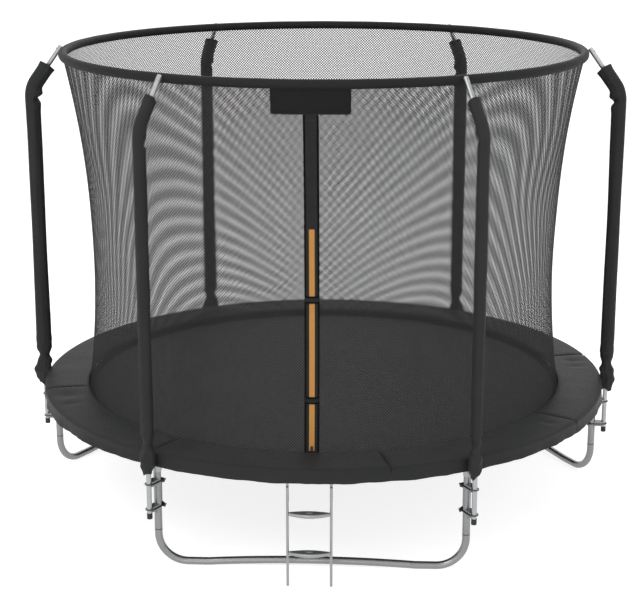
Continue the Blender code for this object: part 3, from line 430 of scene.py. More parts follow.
def build_stage():
    scene = bpy.context.scene
    scene.view_settings.view_transform = "Standard"
    eye = bpy.data.objects.new("camera", bpy.data.cameras.new("camera"))
    scene.collection.objects.link(eye)
    turned = radians(CAMERA_AZIMUTH)
    eye.location = polar(CAMERA_DISTANCE, turned, CAMERA_HEIGHT)
    eye.rotation_euler = (radians(90 - CAMERA_TILT), 0.0, turned + radians(90 + CAMERA_PAN))
    eye.data.sensor_width = SENSOR_WIDTH
    eye.data.lens = FOCAL_PIXELS / PHOTO_PIXELS * SENSOR_WIDTH
    eye.data.clip_end = 200.0
    scene.camera = eye

    ground = Shape()
    ground.grid([[polar(radius, around) for around in rounds(96)]
                 for radius in (0.01, 4.0, 90.0)], None, False, True)
    ground.cap(0, 96)
    look = Look("pale_floor", (0.6, 0.6, 0.6), 0.9)
    look.tint(look.noise(0.6, 2.0), 0.995, 1.005)
    look.set(look.shader, {"Emission Color": (1, 1, 1, 1),
                           "Emission Strength": look.math("MULTIPLY", look.seen(), FLOOR_GLOW)})
    LOOKS["floor"] = look.material
    piece("floor", ground, "floor")

    world = bpy.data.worlds.new("studio")
    scene.world = world
    world.use_nodes = True
    sky = Nodes(world.node_tree)
    sky.set(world.node_tree.nodes["Background"], {
        "Color": (1, 1, 1, 1), "Strength": sky.between(sky.seen(), 0, 1, SKY_LIGHT, 1)})
    for name, place, power in LAMPS:
        lamp = bpy.data.objects.new(name, bpy.data.lights.new(name, "AREA"))
        lamp.data.energy, lamp.data.size = power, LAMP_SIZE
        lamp.location = place
        lamp.rotation_euler = (LAMP_AIM - Vector(place)).to_track_quat("-Z", "Y").to_euler()
        scene.collection.objects.link(lamp)


# ---- Steel frame
def base_path():
    half, distance = RAIL_RADIUS * sin(pi / 6), RAIL_RADIUS * cos(pi / 6)
    corner = [(half, LEG_SPLIT), (half, LEG_SPLIT - 0.012)]
    corner += arc((half - BASE_BEND, FRAME_TUBE + BASE_BEND), BASE_BEND, 0, -pi / 2, 18)
    foot = half - BASE_BEND - FOOT_LENGTH
    bar = [(foot * cos(around), FRAME_TUBE + BASE_ARCH * sin(around) ** 2)
           for around in spread(0.0, pi, 24)]
    points = corner + bar + [(-across, height) for across, height in reversed(corner)]
    return [Vector((distance, across, height)) for across, height in points]


def hollow(shape, path, radius, wall, sides=24):
    """A tube with its bore, seen at its open ends."""
    shape.tube(path, radius, sides, caps=False)
    shape.tube(path, radius - wall, sides, caps=False)
    for index in (0, -1):
        first, second = path_frames(path, False)[index]
        rows = [[path[index] + (first * cos(around) + second * sin(around)) * size
                 for around in rounds(sides)] for size in (radius - wall, radius)]
        shape.grid(rows, None, False, True)


def saddle_outline():
    """A saddle from the leg to the pole, hollowed where the pole lies in it."""
    half, back = CLAMP_HALF - CLAMP_ROD - FIT, RAIL_RADIUS + FRAME_TUBE * 0.5
    lip = POLE_CIRCLE - 0.004
    return [(back, half), (lip, half)] \
        + arc((POLE_CIRCLE, 0), POLE_TUBE + FIT, pi * 0.62, pi * 1.38, 10) \
        + [(lip, -half), (back, -half)]


def build_legs():
    for index, angle in enumerate(BASE_ANGLES, start=1):
        shape = Shape()
        hollow(shape, turn(base_path(), angle), FRAME_TUBE, TUBE_WALL)
        piece(f"base_tube_{index}", shape, "leg", "frame",
              [f"leg_base_{index}"])
    for index, angle in enumerate(LEG_ANGLES, start=1):
        shape, collar = Shape(), Shape()
        column = upright((RAIL_RADIUS, height) for height in
                         (LEG_SPLIT + FIT, 0.30, 0.42, RAIL_HEIGHT - 0.0225))
        hollow(shape, turn(column, angle), FRAME_TUBE, TUBE_WALL)
        for height in CLAMP_HEIGHTS:
            shape.prism(saddle_outline(), height - 0.013, height + 0.013,
                        lambda u, v, w: turn([(u, v, w)], angle)[0])
        piece(f"upright_tube_{index}", shape, "leg", "frame",
              [f"leg_upright_{index}"], bevel=0.0008)
        levels = [(-0.003, 0.0001), (-0.0015, 0.0004), (0.0015, 0.0004), (0.003, 0.0001)]
        ends = upright((RAIL_RADIUS, LEG_SPLIT + rise) for rise, _ in levels)
        collar.tube(turn(ends, angle), [FRAME_TUBE + out for _, out in levels], 24)
        piece(f"joint_rim_{index}", collar, "bolt", "frame")


def u_bolt_path(height):
    near = RAIL_RADIUS - FRAME_TUBE - 0.018
    centre = POLE_CIRCLE + POLE_TUBE + FIT + CLAMP_ROD - CLAMP_HALF
    bend = arc((centre, 0), CLAMP_HALF, pi / 2, -pi / 2, 16)
    return [Vector((x, y, height)) for x, y in [(near, CLAMP_HALF)] + bend
            + [(near, -CLAMP_HALF)]]


def build_clamps():
    for index, angle in enumerate(LEG_ANGLES, start=1):
        shape = Shape()
        behind = RAIL_RADIUS - FRAME_TUBE - FIT - 0.004

        def stand(u, v, w):
            return turn([(w, u, v)], angle)[0]

        for height in CLAMP_HEIGHTS:
            shape.tube(turn(u_bolt_path(height), angle), CLAMP_ROD, 12)
            for side in (-1, 1):
                for radius, sides, low, high in ((0.0060, 6, -0.005, 0.0),
                                                 (0.0075, 20, -0.0011, 0.0001)):
                    disc = arc((side * CLAMP_HALF, height), radius, 0, 2 * pi, sides)[:-1]
                    shape.prism(disc, behind + low, behind + high, stand)
        end, waist = CLAMP_HALF + 0.006, 0.010
        low, high = CLAMP_HEIGHTS
        right = [(end, low - 0.010), (end, low + 0.010), (waist, low + 0.018),
                 (waist, high - 0.018), (end, high - 0.010), (end, high + 0.010)]
        outline = right + [(-across, height) for across, height in reversed(right)]
        shape.prism(outline, behind, behind + 0.004, stand)
        piece(f"clamp_steel_{index}", shape, "bolt", "frame",
              [f"pole_clamp_{index}"], bevel=0.0005)


# ---- Poles and sleeves
def slanted(distance):
    return (POLE_CIRCLE - distance * sin(POLE_SLANT),
            POLE_BEND_HEIGHT + distance * cos(POLE_SLANT))


def pole_line(bottom, reach, steps=16):
    setback = POLE_BEND_RADIUS * tan(POLE_SLANT / 2)
    bend = arc((POLE_CIRCLE - POLE_BEND_RADIUS, POLE_BEND_HEIGHT - setback),
               POLE_BEND_RADIUS, 0.0, POLE_SLANT, steps)
    return upright([(POLE_CIRCLE, bottom)] + bend + [slanted(reach)])


def spaced(path, step):
    """The path again, with its points about step apart."""
    lengths = [(b - a).length for a, b in zip(path, path[1:])]
    total = sum(lengths)
    count = max(2, round(total / step))
    points, index, passed = [], 0, 0.0
    for number in range(count + 1):
        target = total * number / count
        while index < len(lengths) - 1 and passed + lengths[index] < target:
            passed += lengths[index]
            index += 1
        share = (target - passed) / lengths[index]
        points.append(path[index].lerp(path[index + 1], min(1.0, share)))
    return points


def build_poles():
    seat, slope = slanted(PIN_DISTANCE)[0], POLE_TUBE / cos(POLE_SLANT)
    body = pole_line(POLE_FOOT, POLE_REACH - 0.0015) + upright([slanted(POLE_REACH)])
    wide = [POLE_TUBE] * (len(body) - 1) + [POLE_TUBE - 0.0015]
    bolt = ((-0.004, 0.0062), (0.0005, 0.0062), (0.0020, 0.0052), (0.0026, 0.0025))
    levels = [(-0.030, 0.0105), (-0.0295, 0.0125)]
    for rib in range(5):
        base = rib * 0.0052 - 0.028
        levels += [(base, 0.0138), (base + 0.0026, 0.0138), (base + 0.0030, 0.0126),
                   (base + 0.0048, 0.0126)]
    levels += [(-0.0012, 0.0142), (0.0, 0.0142)]
    for index, angle in enumerate(LEG_ANGLES, start=1):
        shape, cap = Shape(), Shape()
        for path, radii, sides in (
                (body, wide, 20),
                (upright([(seat, RING_HEIGHT), (RING_RADIUS + RING_TUBE + FIT, RING_HEIGHT)]),
                 0.0060, 14),
                (upright((seat + slope + out, RING_HEIGHT) for out, _ in bolt),
                 [radius for _, radius in bolt], 14)):
            shape.tube(turn(path, angle), radii, sides)
        piece(f"pole_tube_{index}", shape, "steel", "frame",
              [f"enclosure_pole_{index}"])
        cap.tube(turn(upright((POLE_CIRCLE, POLE_FOOT + rise) for rise, _ in levels), angle),
                 [radius for _, radius in levels], 24)
        piece(f"pole_foot_cap_{index}", cap, "plastic", "frame")


SLEEVE_WIDE = (0.0385, 0.0340, 0.0350, 0.0410, 0.0350, 0.0335)
SLEEVE_NARROW = (0.0275, 0.0365, 0.0375, 0.0290, 0.0275, 0.0265)
SLEEVE_BEND_FOLDS = ((0.0, -0.42, 0.015), (0.036, 0.30, 0.026), (-0.032, 0.08, 0.024))
SLEEVE_CLEAR = 0.0290                          # inwards, beside the pad
PAD_SIDE_LOW, PAD_SIDE_HIGH = 0.60, 0.64


def sleeve_radius(around, metre, length, index):
    """How far the cover stands off the pole's line: a loose, flattened, creased tube."""
    inner, across = cos(around), sin(around)
    wide = SLEEVE_WIDE[index - 1] + 0.0025 * sin(metre * 3.1 + index * 1.9)
    narrow = SLEEVE_NARROW[index - 1] + 0.0020 * sin(metre * 2.3 + index * 2.7)
    radius = 1.0 / sqrt((inner / wide) ** 2 + (across / narrow) ** 2)
    soft = rough(inner * 1.3, across * 1.3, metre * 2.6 + index * 7.3)
    crease = rough(inner * 2.6, across * 2.6, metre * 1.1 + index * 3.1)
    fine = rough(inner * 3.0, across * 3.0, metre * 24.0 + index)
    radius *= 1.0 + 0.07 * soft + 0.06 * crease + 0.012 * fine
    corner = POLE_BEND_HEIGHT - SLEEVE_BOTTOM - 0.045 - 0.008 * (index % 3)
    facing = max(0.0, cos(around - 0.35 * sin(index * 2.4))) ** 1.5
    for shift, depth, width in SLEEVE_BEND_FOLDS:
        radius *= 1.0 + depth * bump_at(metre, corner + shift + 0.012 * across, width) * facing
    low = 1.0 - smooth(metre, 0.10, 0.34)
    swirl = rough(inner * 1.7 + index * 5.0, across * 1.7 + metre * 17.0, 0)
    fold = sin(metre * 105.0 + 2.2 * around + index * 1.3)
    radius *= 1.0 + low * (0.16 * swirl + 0.055 * fold)
    pinch = 0.150 + 0.012 * sin(index * 2.1) + 0.010 * across
    radius *= 1.0 - 0.34 * bump_at(metre, pinch, 0.028) + 0.26 * bump_at(metre, 0.072, 0.042)
    radius *= 1.0 - 0.22 * (1.0 - smooth(metre, 0.0, 0.030))
    radius *= 1.0 + 0.07 * smooth(metre, length - 0.035, length)
    return max(POLE_TUBE + 0.0018, radius)


def sleeve_rows(index, line, sides):
    """Rows of points round one sleeve, clear of the pad beside it."""
    length = sum((b - a).length for a, b in zip(line, line[1:]))
    rows = []
    for number, (point, (first, second)) in enumerate(zip(line, path_frames(line, False))):
        metre = length * number / (len(line) - 1)
        row = []
        for around in rounds(sides):
            radius = sleeve_radius(around, metre, length, index)
            inward = radius * cos(around)
            if inward > SLEEVE_CLEAR:
                squeeze = smooth(point.z, PAD_SIDE_LOW, PAD_SIDE_HIGH)
                inward = SLEEVE_CLEAR + (inward - SLEEVE_CLEAR) * squeeze
            row.append(point + first * inward + second * (radius * sin(around)))
        rows.append(row)
    return rows, length


def build_sleeves():
    sides = 48
    for index, angle in enumerate(LEG_ANGLES, start=1):
        line = spaced(pole_line(SLEEVE_BOTTOM, POLE_REACH - SLEEVE_BARE), 0.0085)
        rows, length = sleeve_rows(index, line, sides)
        ends = ((line[-1] - line[-2]).normalized() * 0.013,
                (line[0] - line[1]).normalized() * 0.012)
        for side, around in enumerate(rounds(sides)):
            slope = cos(around - 2.6 + index)
            ragged = cos(around + 1.9 * index) + 0.5 * cos(3 * around + index)
            for row, move in ((-1, ends[0] * slope), (-2, ends[0] * (0.5 * slope)),
                              (0, ends[1] * ragged), (1, ends[1] * (0.4 * ragged))):
                rows[row][side] = rows[row][side] + move
        bottom, top = (hollow_mouth(rows, line, way) for way in (1, -1))
        shape = Shape()
        girth, step = 2 * pi * SLEEVE_RADIUS / sides, length / (len(line) - 1)
        shape.solid([turn(row, angle) for row in bottom[::-1] + rows + top],
                    lambda r, c: (c * girth, r * step))
        made = piece(f"sleeve_{index}", shape, "sleeve", "frame",
                     [f"pole_sleeve_{index}"], sharp=60)


def hollow_mouth(rows, line, way):
    """The rim and the inside of one open end of a sleeve; way 1 is its bottom."""
    first = 0 if way == 1 else len(rows) - 1
    inside = []
    for step, share in ((0, 0.12), (3, 0.20), (8, 0.24)):
        number = first + way * step
        inside.append([point.lerp(line[number], share) for point in rows[number]])
    number = first + way * 9
    inside.append([line[number].lerp(point, 0.42) for point in rows[number]])
    return inside


# ---- Top ring's hem
def build_hem():
    """The cloth round the top ring: a soft tube with puckers and a stitched lower edge."""
    shape = Shape()
    stations, sides = 720, 24
    rows = []
    for angle in rounds(stations):
        row = []
        for around in rounds(sides):
            wide = HEM_RADIUS * (0.965 + 0.035 * rough(cos(angle) * 9, sin(angle) * 9,
                                                       around * 0.6))
            wide += 0.0006 * sin(angle * 300 + around * 2) * max(0.0, -sin(around))
            row.append(polar(RING_RADIUS + wide * cos(around), angle,
                             RING_HEIGHT + wide * sin(around)))
        rows.append(row)
    shape.grid(rows, lambda r, c: (r * 2 * pi * RING_RADIUS / stations,
                                   c * 2 * pi * HEM_RADIUS / sides), True, True)
    made = piece("hem_tube", shape, "hem", "frame", ["ring_hem"],
                 sharp=60)
    slots = Shape()
    for angle in LEG_ANGLES:
        edge, patch = [], []
        for around in rounds(20):
            across, rise = 0.0105 * cos(around), 0.0085 * sin(around)
            out = RING_RADIUS + sqrt(HEM_RADIUS ** 2 - rise ** 2)
            edge.append(Vector((out - 0.0008, across, RING_HEIGHT + rise)))
            patch.append(Vector((out - 0.0002, across * 0.9, RING_HEIGHT + rise * 0.9)))
        slots.tube(turn(edge, angle), 0.0017, 8, closed=True)
        base = len(slots.points)
        slots.points.extend(turn(patch, angle))
        slots.cap(base, 20)
    piece("hem_slots", slots, "webbing", "frame")


# ---- Net and entry
def net_radius(height):
    rise = height - NET_WAIST_HEIGHT
    return NET_WAIST + NET_CURVE - sqrt(NET_CURVE ** 2 - rise ** 2)


def net_out(angle, height):
    """Small waves of the net between its poles."""
    free = sin(pi * min(1.0, max(0.0, (height - 0.60) / (NET_TOP - 0.60))))
    soft = rough(cos(angle) * 2.4, sin(angle) * 2.4, height * 1.7)
    calm = 1.0 - max(0.0, cos(angle - ENTRY)) ** 40
    return 0.007 * free * soft * calm


def net_point(angle, height, out=0.0):
    """A point of the net, which lies flat behind the entry's strip."""
    radius = net_radius(height) + net_out(angle, height)
    beside = abs(aside(angle, ENTRY))
    if beside < FLAT_HALF:
        radius *= cos(FLAT_HALF) / cos(beside)
    return polar(radius + out, angle, height)


def net_rows(angles, heights, out=0.0):
    return [[net_point(angle, height, out) for angle in angles] for height in heights]


def entry_face(height, out):
    """Y of what lies out from the net, down the middle of the entry."""
    return -(net_radius(height) * cos(FLAT_HALF) + out)


def net_piece(name, shape, look, stands_for=(), sharp=35):
    """A piece that rides on no body, with its shape baked into world space."""
    made = piece(name, shape, look, None, stands_for, sharp)
    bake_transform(made)
    return made


NET_COLUMNS, NET_LEVELS, NET_HALF = 72, 64, 0.00025
NET_HIDDEN = 0.004                             # tucked into the hem and the foot's band
NET_REFERENCE = NET_PITCH * sqrt(2) * 520 / (2 * pi)      # 520 meshes round the net
BAND_HALF = 0.0009


def build_net():
    """Six panels of net, one to each CAD panel, and the band that ties them to the mat."""
    heights = spread(NET_BAND_TOP - NET_HIDDEN, NET_TOP + NET_HIDDEN, NET_LEVELS)
    unit = 2 * pi * NET_REFERENCE / (6 * NET_COLUMNS)
    lengths = [0.0]
    for below, above in zip(heights, heights[1:]):
        lengths.append(lengths[-1] + hypot(above - below,
                                           net_radius(above) - net_radius(below)))
    along = [*range(NET_COLUMNS + 1), *range(NET_COLUMNS, -1, -1), 0]
    for index, start in enumerate(LEG_ANGLES, start=1):
        angles = spread(start, start + pi / 3, NET_COLUMNS)
        shape, shift = Shape(), (index - 1) * NET_COLUMNS
        shape.solid([near + far[::-1] for near, far in zip(
            net_rows(angles, heights, NET_HALF), net_rows(angles, heights, -NET_HALF))],
            lambda r, c: ((shift + along[c]) * unit, lengths[r]))
        made = net_piece(f"net_cloth_{index}", shape, "net",
                         [f"net_panel_{index}"], 80)
    band, angles, levels = Shape(), rounds(6 * NET_COLUMNS), spread(NET_FOOT, NET_BAND_TOP, 6)
    band.grid(net_rows(angles, levels, BAND_HALF) + net_rows(angles, levels[::-1], -BAND_HALF),
              lambda r, c: (c * unit, r * 0.005), True, True)
    net_piece("net_foot_band", band, "webbing", ["net_band"], 70)


def tape(name, look, width, bottom, top, inside, thickness, node, crown=0.0):
    """A tape that lies on the outside of the net, down the middle of the entry."""
    columns, gap = 8, 0.012
    rows = []
    for height in spread(bottom, top, round((top - bottom) / gap)):
        row = []
        for side in spread(-1.0, 1.0, columns):
            lift = inside + thickness + crown * (1 - side ** 2)
            row.append(Vector((width / 2 * side, entry_face(height, lift), height)))
        rows.append(row + [Vector((point.x, entry_face(height, inside), height))
                           for point in reversed(row)])
    shape = Shape()
    shape.solid(rows, lambda r, c: (c * width / columns, r * gap))
    net_piece(name, shape, look, [node], 50)


def stitch_line(shape, points, out, long=0.0042, gap=0.0018, thick=0.0005):
    """Short stitches along a line of points, raised towards out."""
    line = spaced(points, (long + gap) / 2)
    for start, end in zip(line[:-1:2], line[1::2]):
        middle = start.lerp(end, 0.5) + Vector(out) * thick * 1.2
        shape.tube([start, middle, end], thick, 4)


def build_entry():
    tape("entry_panel", "webbing", STRIP_WIDTH, NET_FOOT, SIGN_BOTTOM - FIT,
         STRIP_GAP, STRIP_THICKNESS, "entry_strip")
    for name, side in (("left", -1), ("right", 1)):
        near, far = side * (STRIP_WIDTH / 2 - 0.0095), side * (STRIP_WIDTH / 2 + 0.0004)
        section = ((near, 0.0001), (near + side * 0.0006, 0.0012), ((near + far) / 2, 0.0015),
                   (far - side * 0.0006, 0.0012), (far, -0.0010), (far - side * 0.0012, -0.0004))
        edge, rows = Shape(), []
        for height in spread(NET_FOOT + 0.001, SIGN_BOTTOM - 0.002, 130):
            face = entry_face(height, STRIP_OUT)
            rows.append([Vector((across, face - out, height)) for across, out in section])
        edge.solid(rows, lambda r, c: (c * 0.003, r * 0.013))
        net_piece(f"entry_binding_{name}", edge, "edge", sharp=60)
    tape("zip_band", "orange", ZIP_WIDTH, ZIP_BOTTOM, ZIP_TOP,
         STRIP_OUT + FIT, ZIP_THICKNESS, "zip_tape", 0.0004)
    chain = Shape()
    for across, thick in ((-0.0030, 0.0004), (0.0, 0.0007), (0.0030, 0.0004)):
        chain.tube([Vector((across, entry_face(height, STRIP_OUT + FIT + 0.0017), height))
                    for height in spread(ZIP_BOTTOM + 0.003, ZIP_TOP - 0.003, 120)], thick, 6)
    net_piece("zip_chain", chain, "orange")
    seams = Shape()
    for height in (SIGN_BOTTOM - 0.030, ZIP_TOP + 0.008):
        face = entry_face(height, STRIP_OUT + 0.0003)
        ends = [Vector((side * (STRIP_WIDTH / 2 - 0.005), face, height)) for side in (-1, 1)]
        stitch_line(seams, ends, (0, -1, 0), 0.0045, 0.0022)
    net_piece("entry_seams", seams, "stitch")
    build_straps()
    build_slider()


def build_straps():
    """Straps across the zip, with stitches where their ends are sewn down, and behind each strap
    a dark sheet of painted shadow.
    """
    half, standoff, steps = STRIP_WIDTH / 2 - 0.0006, 0.0090, 6
    inner, middle = half - 0.009, half - 0.018
    line = [(-half, 0.0), (-inner, 0.0), (-middle, standoff), (middle, standoff),
            (inner, 0.0), (half, 0.0)]
    dense = []
    for (x0, y0), (x1, y1) in zip(line, line[1:]):
        for n in range(steps):
            share = n / steps
            rise = smooth(share, 0.0, 1.0) if y0 != y1 else share
            dense.append((x0 + (x1 - x0) * share, y0 + (y1 - y0) * rise))
    dense.append(line[-1])
    for name, height in zip(("lower", "upper"), STRAPS):
        base = entry_face(height, STRIP_OUT)
        strap, painted_shadow = Shape(), Shape()
        # The second sheet is painted shadow: a dark sheet behind the strap's middle, twice its
        # height, standing in for the shade above and below it.
        for shape, path, scale, near, far, tall in (
                (strap, dense, 1.0, 0.0, 0.0018, 0.009),
                (painted_shadow, dense[4:-4], 0.55, 0.0003, 0.0012, 0.018)):
            outline = [(x, base - y * scale - near) for x, y in path]
            outline += [(x, base - y * scale - far) for x, y in reversed(path)]
            shape.prism(outline, height - tall, height + tall,
                        lambda u, v, w: Vector((u, v, w)))
        for side in (-1, 1):
            for level in (height - 0.0065, height + 0.0065):
                stitch_line(strap, [Vector((side * across, base - 0.0019, level))
                                    for across in (half, inner)], (0, -1, 0), 0.003, 0.0015)
        net_piece(f"strap_{name}", strap, "webbing")
        # painted shadow: the dark sheet behind the strap
        net_piece(f"strap_backing_{name}", painted_shadow, "edge")


def build_slider():
    """The zip's slider: a body with a bridge."""
    height = ZIP_BOTTOM + 0.012
    face = entry_face(height, STRIP_OUT + FIT + ZIP_THICKNESS + 0.0009)
    lean = (height - NET_WAIST_HEIGHT) / NET_CURVE
    half = [(0.008, -0.010), (0.0065, 0.010), (0.0045, 0.012)]
    body = [(-0.008, -0.010), (-0.006, -0.012), (0.006, -0.012)] + half \
        + [(-across, rise) for across, rise in half[:0:-1]]

    def stand(u, v, w):
        return Vector((u, face - w - v * lean, height + v))

    shape = Shape()
    shape.prism(body, 0.0002, 0.0026, stand)
    shape.tube([stand(0.0, v, 0.0024 + 0.0014 * cos(v * 224))
                for v in (-0.007, -0.004, 0.0, 0.004, 0.007)], 0.0009, 8)
    piece("slider_body", shape, "plastic", "slider",
          ["zip_slider"], bevel=0.0005)


def build_sign():
    """A bare plate of coated cloth over the entry, bound along its edges."""
    columns, levels = 40, 14
    rows = []
    for n in range(levels + 1):
        height = SIGN_BOTTOM + (SIGN_TOP - SIGN_BOTTOM) * n / levels
        half = SIGN_WIDTH / 2 - 0.001 * (1 - n / levels)
        row = []
        for m in range(columns + 1):
            across = half * (2 * m / columns - 1)
            depth = sqrt(net_radius(height) ** 2 - across ** 2) + 0.0030
            belly = 0.0022 * sin(pi * m / columns) * sin(pi * n / levels)
            belly += 0.0012 * rough(across * 14, height * 20, 3.0)
            row.append(Vector((across, -depth - belly, height)))
        rows.append(row)
    shape, unit = Shape(), SIGN_WIDTH / columns
    for side in (0.0, 0.0018):
        shape.grid([[point + Vector((0, side, 0)) for point in row] for row in rows],
                   lambda r, c: (c * unit, r * 0.008))
    piece("sign_panel", shape, "sign", "frame", ["sign_plate"], sharp=70)
    rim = Shape()
    loop = rows[0] + [row[-1] for row in rows[1:]] + rows[-1][::-1][1:] \
        + [row[0] for row in reversed(rows[1:-1])]
    rim.tube([point + Vector((0, 0.0004, 0)) for point in loop], 0.0024, 8, closed=True)
    piece("sign_binding", rim, "webbing", "frame")


# ---- Mat, rings and springs
def build_mat():
    sides, bottom = 216, MAT_TOP - MAT_THICKNESS
    shape = Shape()
    rows = [[polar(radius, around, MAT_TOP) for around in rounds(sides)]
            for radius in [0.02] + spread(0.0, MAT_RADIUS, 24)[1:]]
    shape.solid(rows + [[point - Vector((0, 0, MAT_THICKNESS)) for point in row]
                        for row in reversed(rows)])
    for corner, face in zip(shape.flat, shape.faces):
        corner[:] = [tuple(shape.points[vertex].xy) for vertex in face]
    piece("mat_cloth", shape, "mat", "mat", ["jump_mat"], sharp=40)
    band = Shape()
    inner, outer, lift = MAT_RADIUS - MAT_BAND, MAT_RADIUS + 0.0004, MAT_TOP + 0.0002
    profile = [(inner, lift), (inner + 0.001, lift + 0.0017), (inner + 0.012, lift + 0.0014),
               (outer - 0.014, lift + 0.0014), (outer - 0.002, lift + 0.0018),
               (outer, lift + 0.0004), (outer, bottom - 0.0006), (outer - 0.030, bottom - 0.0012),
               (outer - 0.031, bottom - 0.0001), (inner, lift - 0.0001)]
    band.grid([[polar(radius, around, height) for radius, height in profile]
               for around in rounds(432)], lambda r, c: (r * 0.019, c * 0.005), True, True)
    for radius in (inner + 0.005, outer - 0.008):
        line = [polar(radius, around, lift + 0.0018) for around in spread(0.0, 2 * pi, 1200)]
        stitch_line(band, line, (0, 0, 1), 0.0052, 0.0030)
    piece("mat_binding", band, "webbing", "mat", ["mat_edge"], sharp=50)


def build_v_rings():
    """The triangular rings that the springs hook into, each in a sewn tab."""
    rings, tabs = Shape(), Shape()
    inward, tip, half = MAT_RADIUS - 0.010, MAT_RADIUS + V_DEPTH, V_WIDTH / 2
    corners = [(inward, -half), (inward, half), (tip - 0.004, 0.0035), (tip, 0.0),
               (tip - 0.004, -0.0035), (inward, -half)]
    loop = spaced([Vector((x, y, RAIL_HEIGHT)) for x, y in corners], 0.004)[:-1]
    lip = [(inward - 0.012, 0.0034), (MAT_RADIUS + 0.006, 0.0030), (MAT_RADIUS + 0.010, 0.0),
           (MAT_RADIUS + 0.006, -0.0030), (inward - 0.012, -0.0034)]
    widths = (-half + 0.003, -half + 0.006, 0.0, half - 0.006, half - 0.003)
    for angle in SPRING_ANGLES:
        rings.tube(turn(loop, angle), 0.0019, 8, closed=True)
        tabs.grid([turn([Vector((x, y, RAIL_HEIGHT + z)) for x, z in lip], angle)
                   for y in widths], lambda r, c: (r * 0.006, c * 0.01))
    # The rings are zinc-plated; their dark colour is painted shade, for the gap under the pad's
    # inner edge where they sit.
    piece("spring_rings", rings, "bolt", "mat")
    piece("ring_tabs", tabs, "webbing", "mat", sharp=70)


def build_springs():
    near, far = MAT_RADIUS + V_DEPTH - 0.004, RAIL_RADIUS - FRAME_TUBE - 0.0045
    start, end = near + 0.014, far - 0.015
    turns, steps, radius, wire = 19, 12, 0.0076, 0.0014
    coil = []
    for n in range(turns * steps + 1):
        share, around = n / (turns * steps), 2 * pi * n / steps
        wide = radius * (0.45 + 0.55 * min(1.0, share * turns, (1 - share) * turns))
        coil.append((start + (end - start) * share, wide * cos(around), wide * sin(around)))
    hook_in = [(near - 0.0005, 0, -0.0036), (near - 0.0030, 0, -0.0005),
               (near - 0.0005, 0, 0.0032), (near + 0.006, 0.001, 0.0034)]
    hook_out = [(end + 0.006, 0.001, 0.0034), (far - 0.001, 0, 0.0036),
                (far + 0.0030, 0, 0.0008), (far + 0.0030, 0, -0.0030)]
    path = [Vector((x, y, z + RAIL_HEIGHT)) for x, y, z in hook_in + coil + hook_out]
    for index, angle in enumerate(SPRING_ANGLES, start=1):
        shape = Shape()
        shape.tube(turn(path, angle), wire, 5)
        made = piece(f"spring_{index:02d}", shape, "spring", None,
                     ["springs"] if index == 1 else [], sharp=80)
        polar(far - 0.012, angle, RAIL_HEIGHT)
        polar(near + 0.010, angle, RAIL_HEIGHT)
        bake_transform(made)


# ---- Safety pad
PAD_MIDDLE = 1.42                              # radius at which its seams are measured
SEAM_PUCKER, SEAM_GROOVE = 0.034, 0.010        # how far they reach to a seam's sides
# each dent: degrees, place and length across the pad (shares), depth, width along it
PAD_DENTS = [(200.0, 0.55, 0.30, 0.0125, 0.056), (206.0, 0.60, 0.24, 0.0070, 0.040),
             (10.0, 0.60, 0.22, 0.0090, 0.030), (5.5, 0.55, 0.18, 0.0068, 0.030),
             (64.0, 0.50, 0.25, 0.0075, 0.030), (108.5, 0.55, 0.22, 0.0075, 0.030),
             (154.0, 0.50, 0.24, 0.0083, 0.030), (325.0, 0.55, 0.24, 0.0060, 0.030),
             (245.0, 0.50, 0.20, 0.0060, 0.030)]


def seam_pinch(angle, width):
    """1 at a seam of the pad, falling to 0 at width to its sides (in metres)."""
    return max(1.0 - smooth(abs(aside(angle, seam)) * PAD_MIDDLE, 0.0, width)
               for seam in PAD_SEAMS)


def pad_dent(angle, share):
    """Shallow dents where the cover has slackened over the foam (metres, downwards)."""
    return sum(deep * bump_at(aside(angle, radians(degrees)) * PAD_MIDDLE, 0.0, wide)
               * bump_at(share, middle, long) for degrees, middle, long, deep, wide in PAD_DENTS)


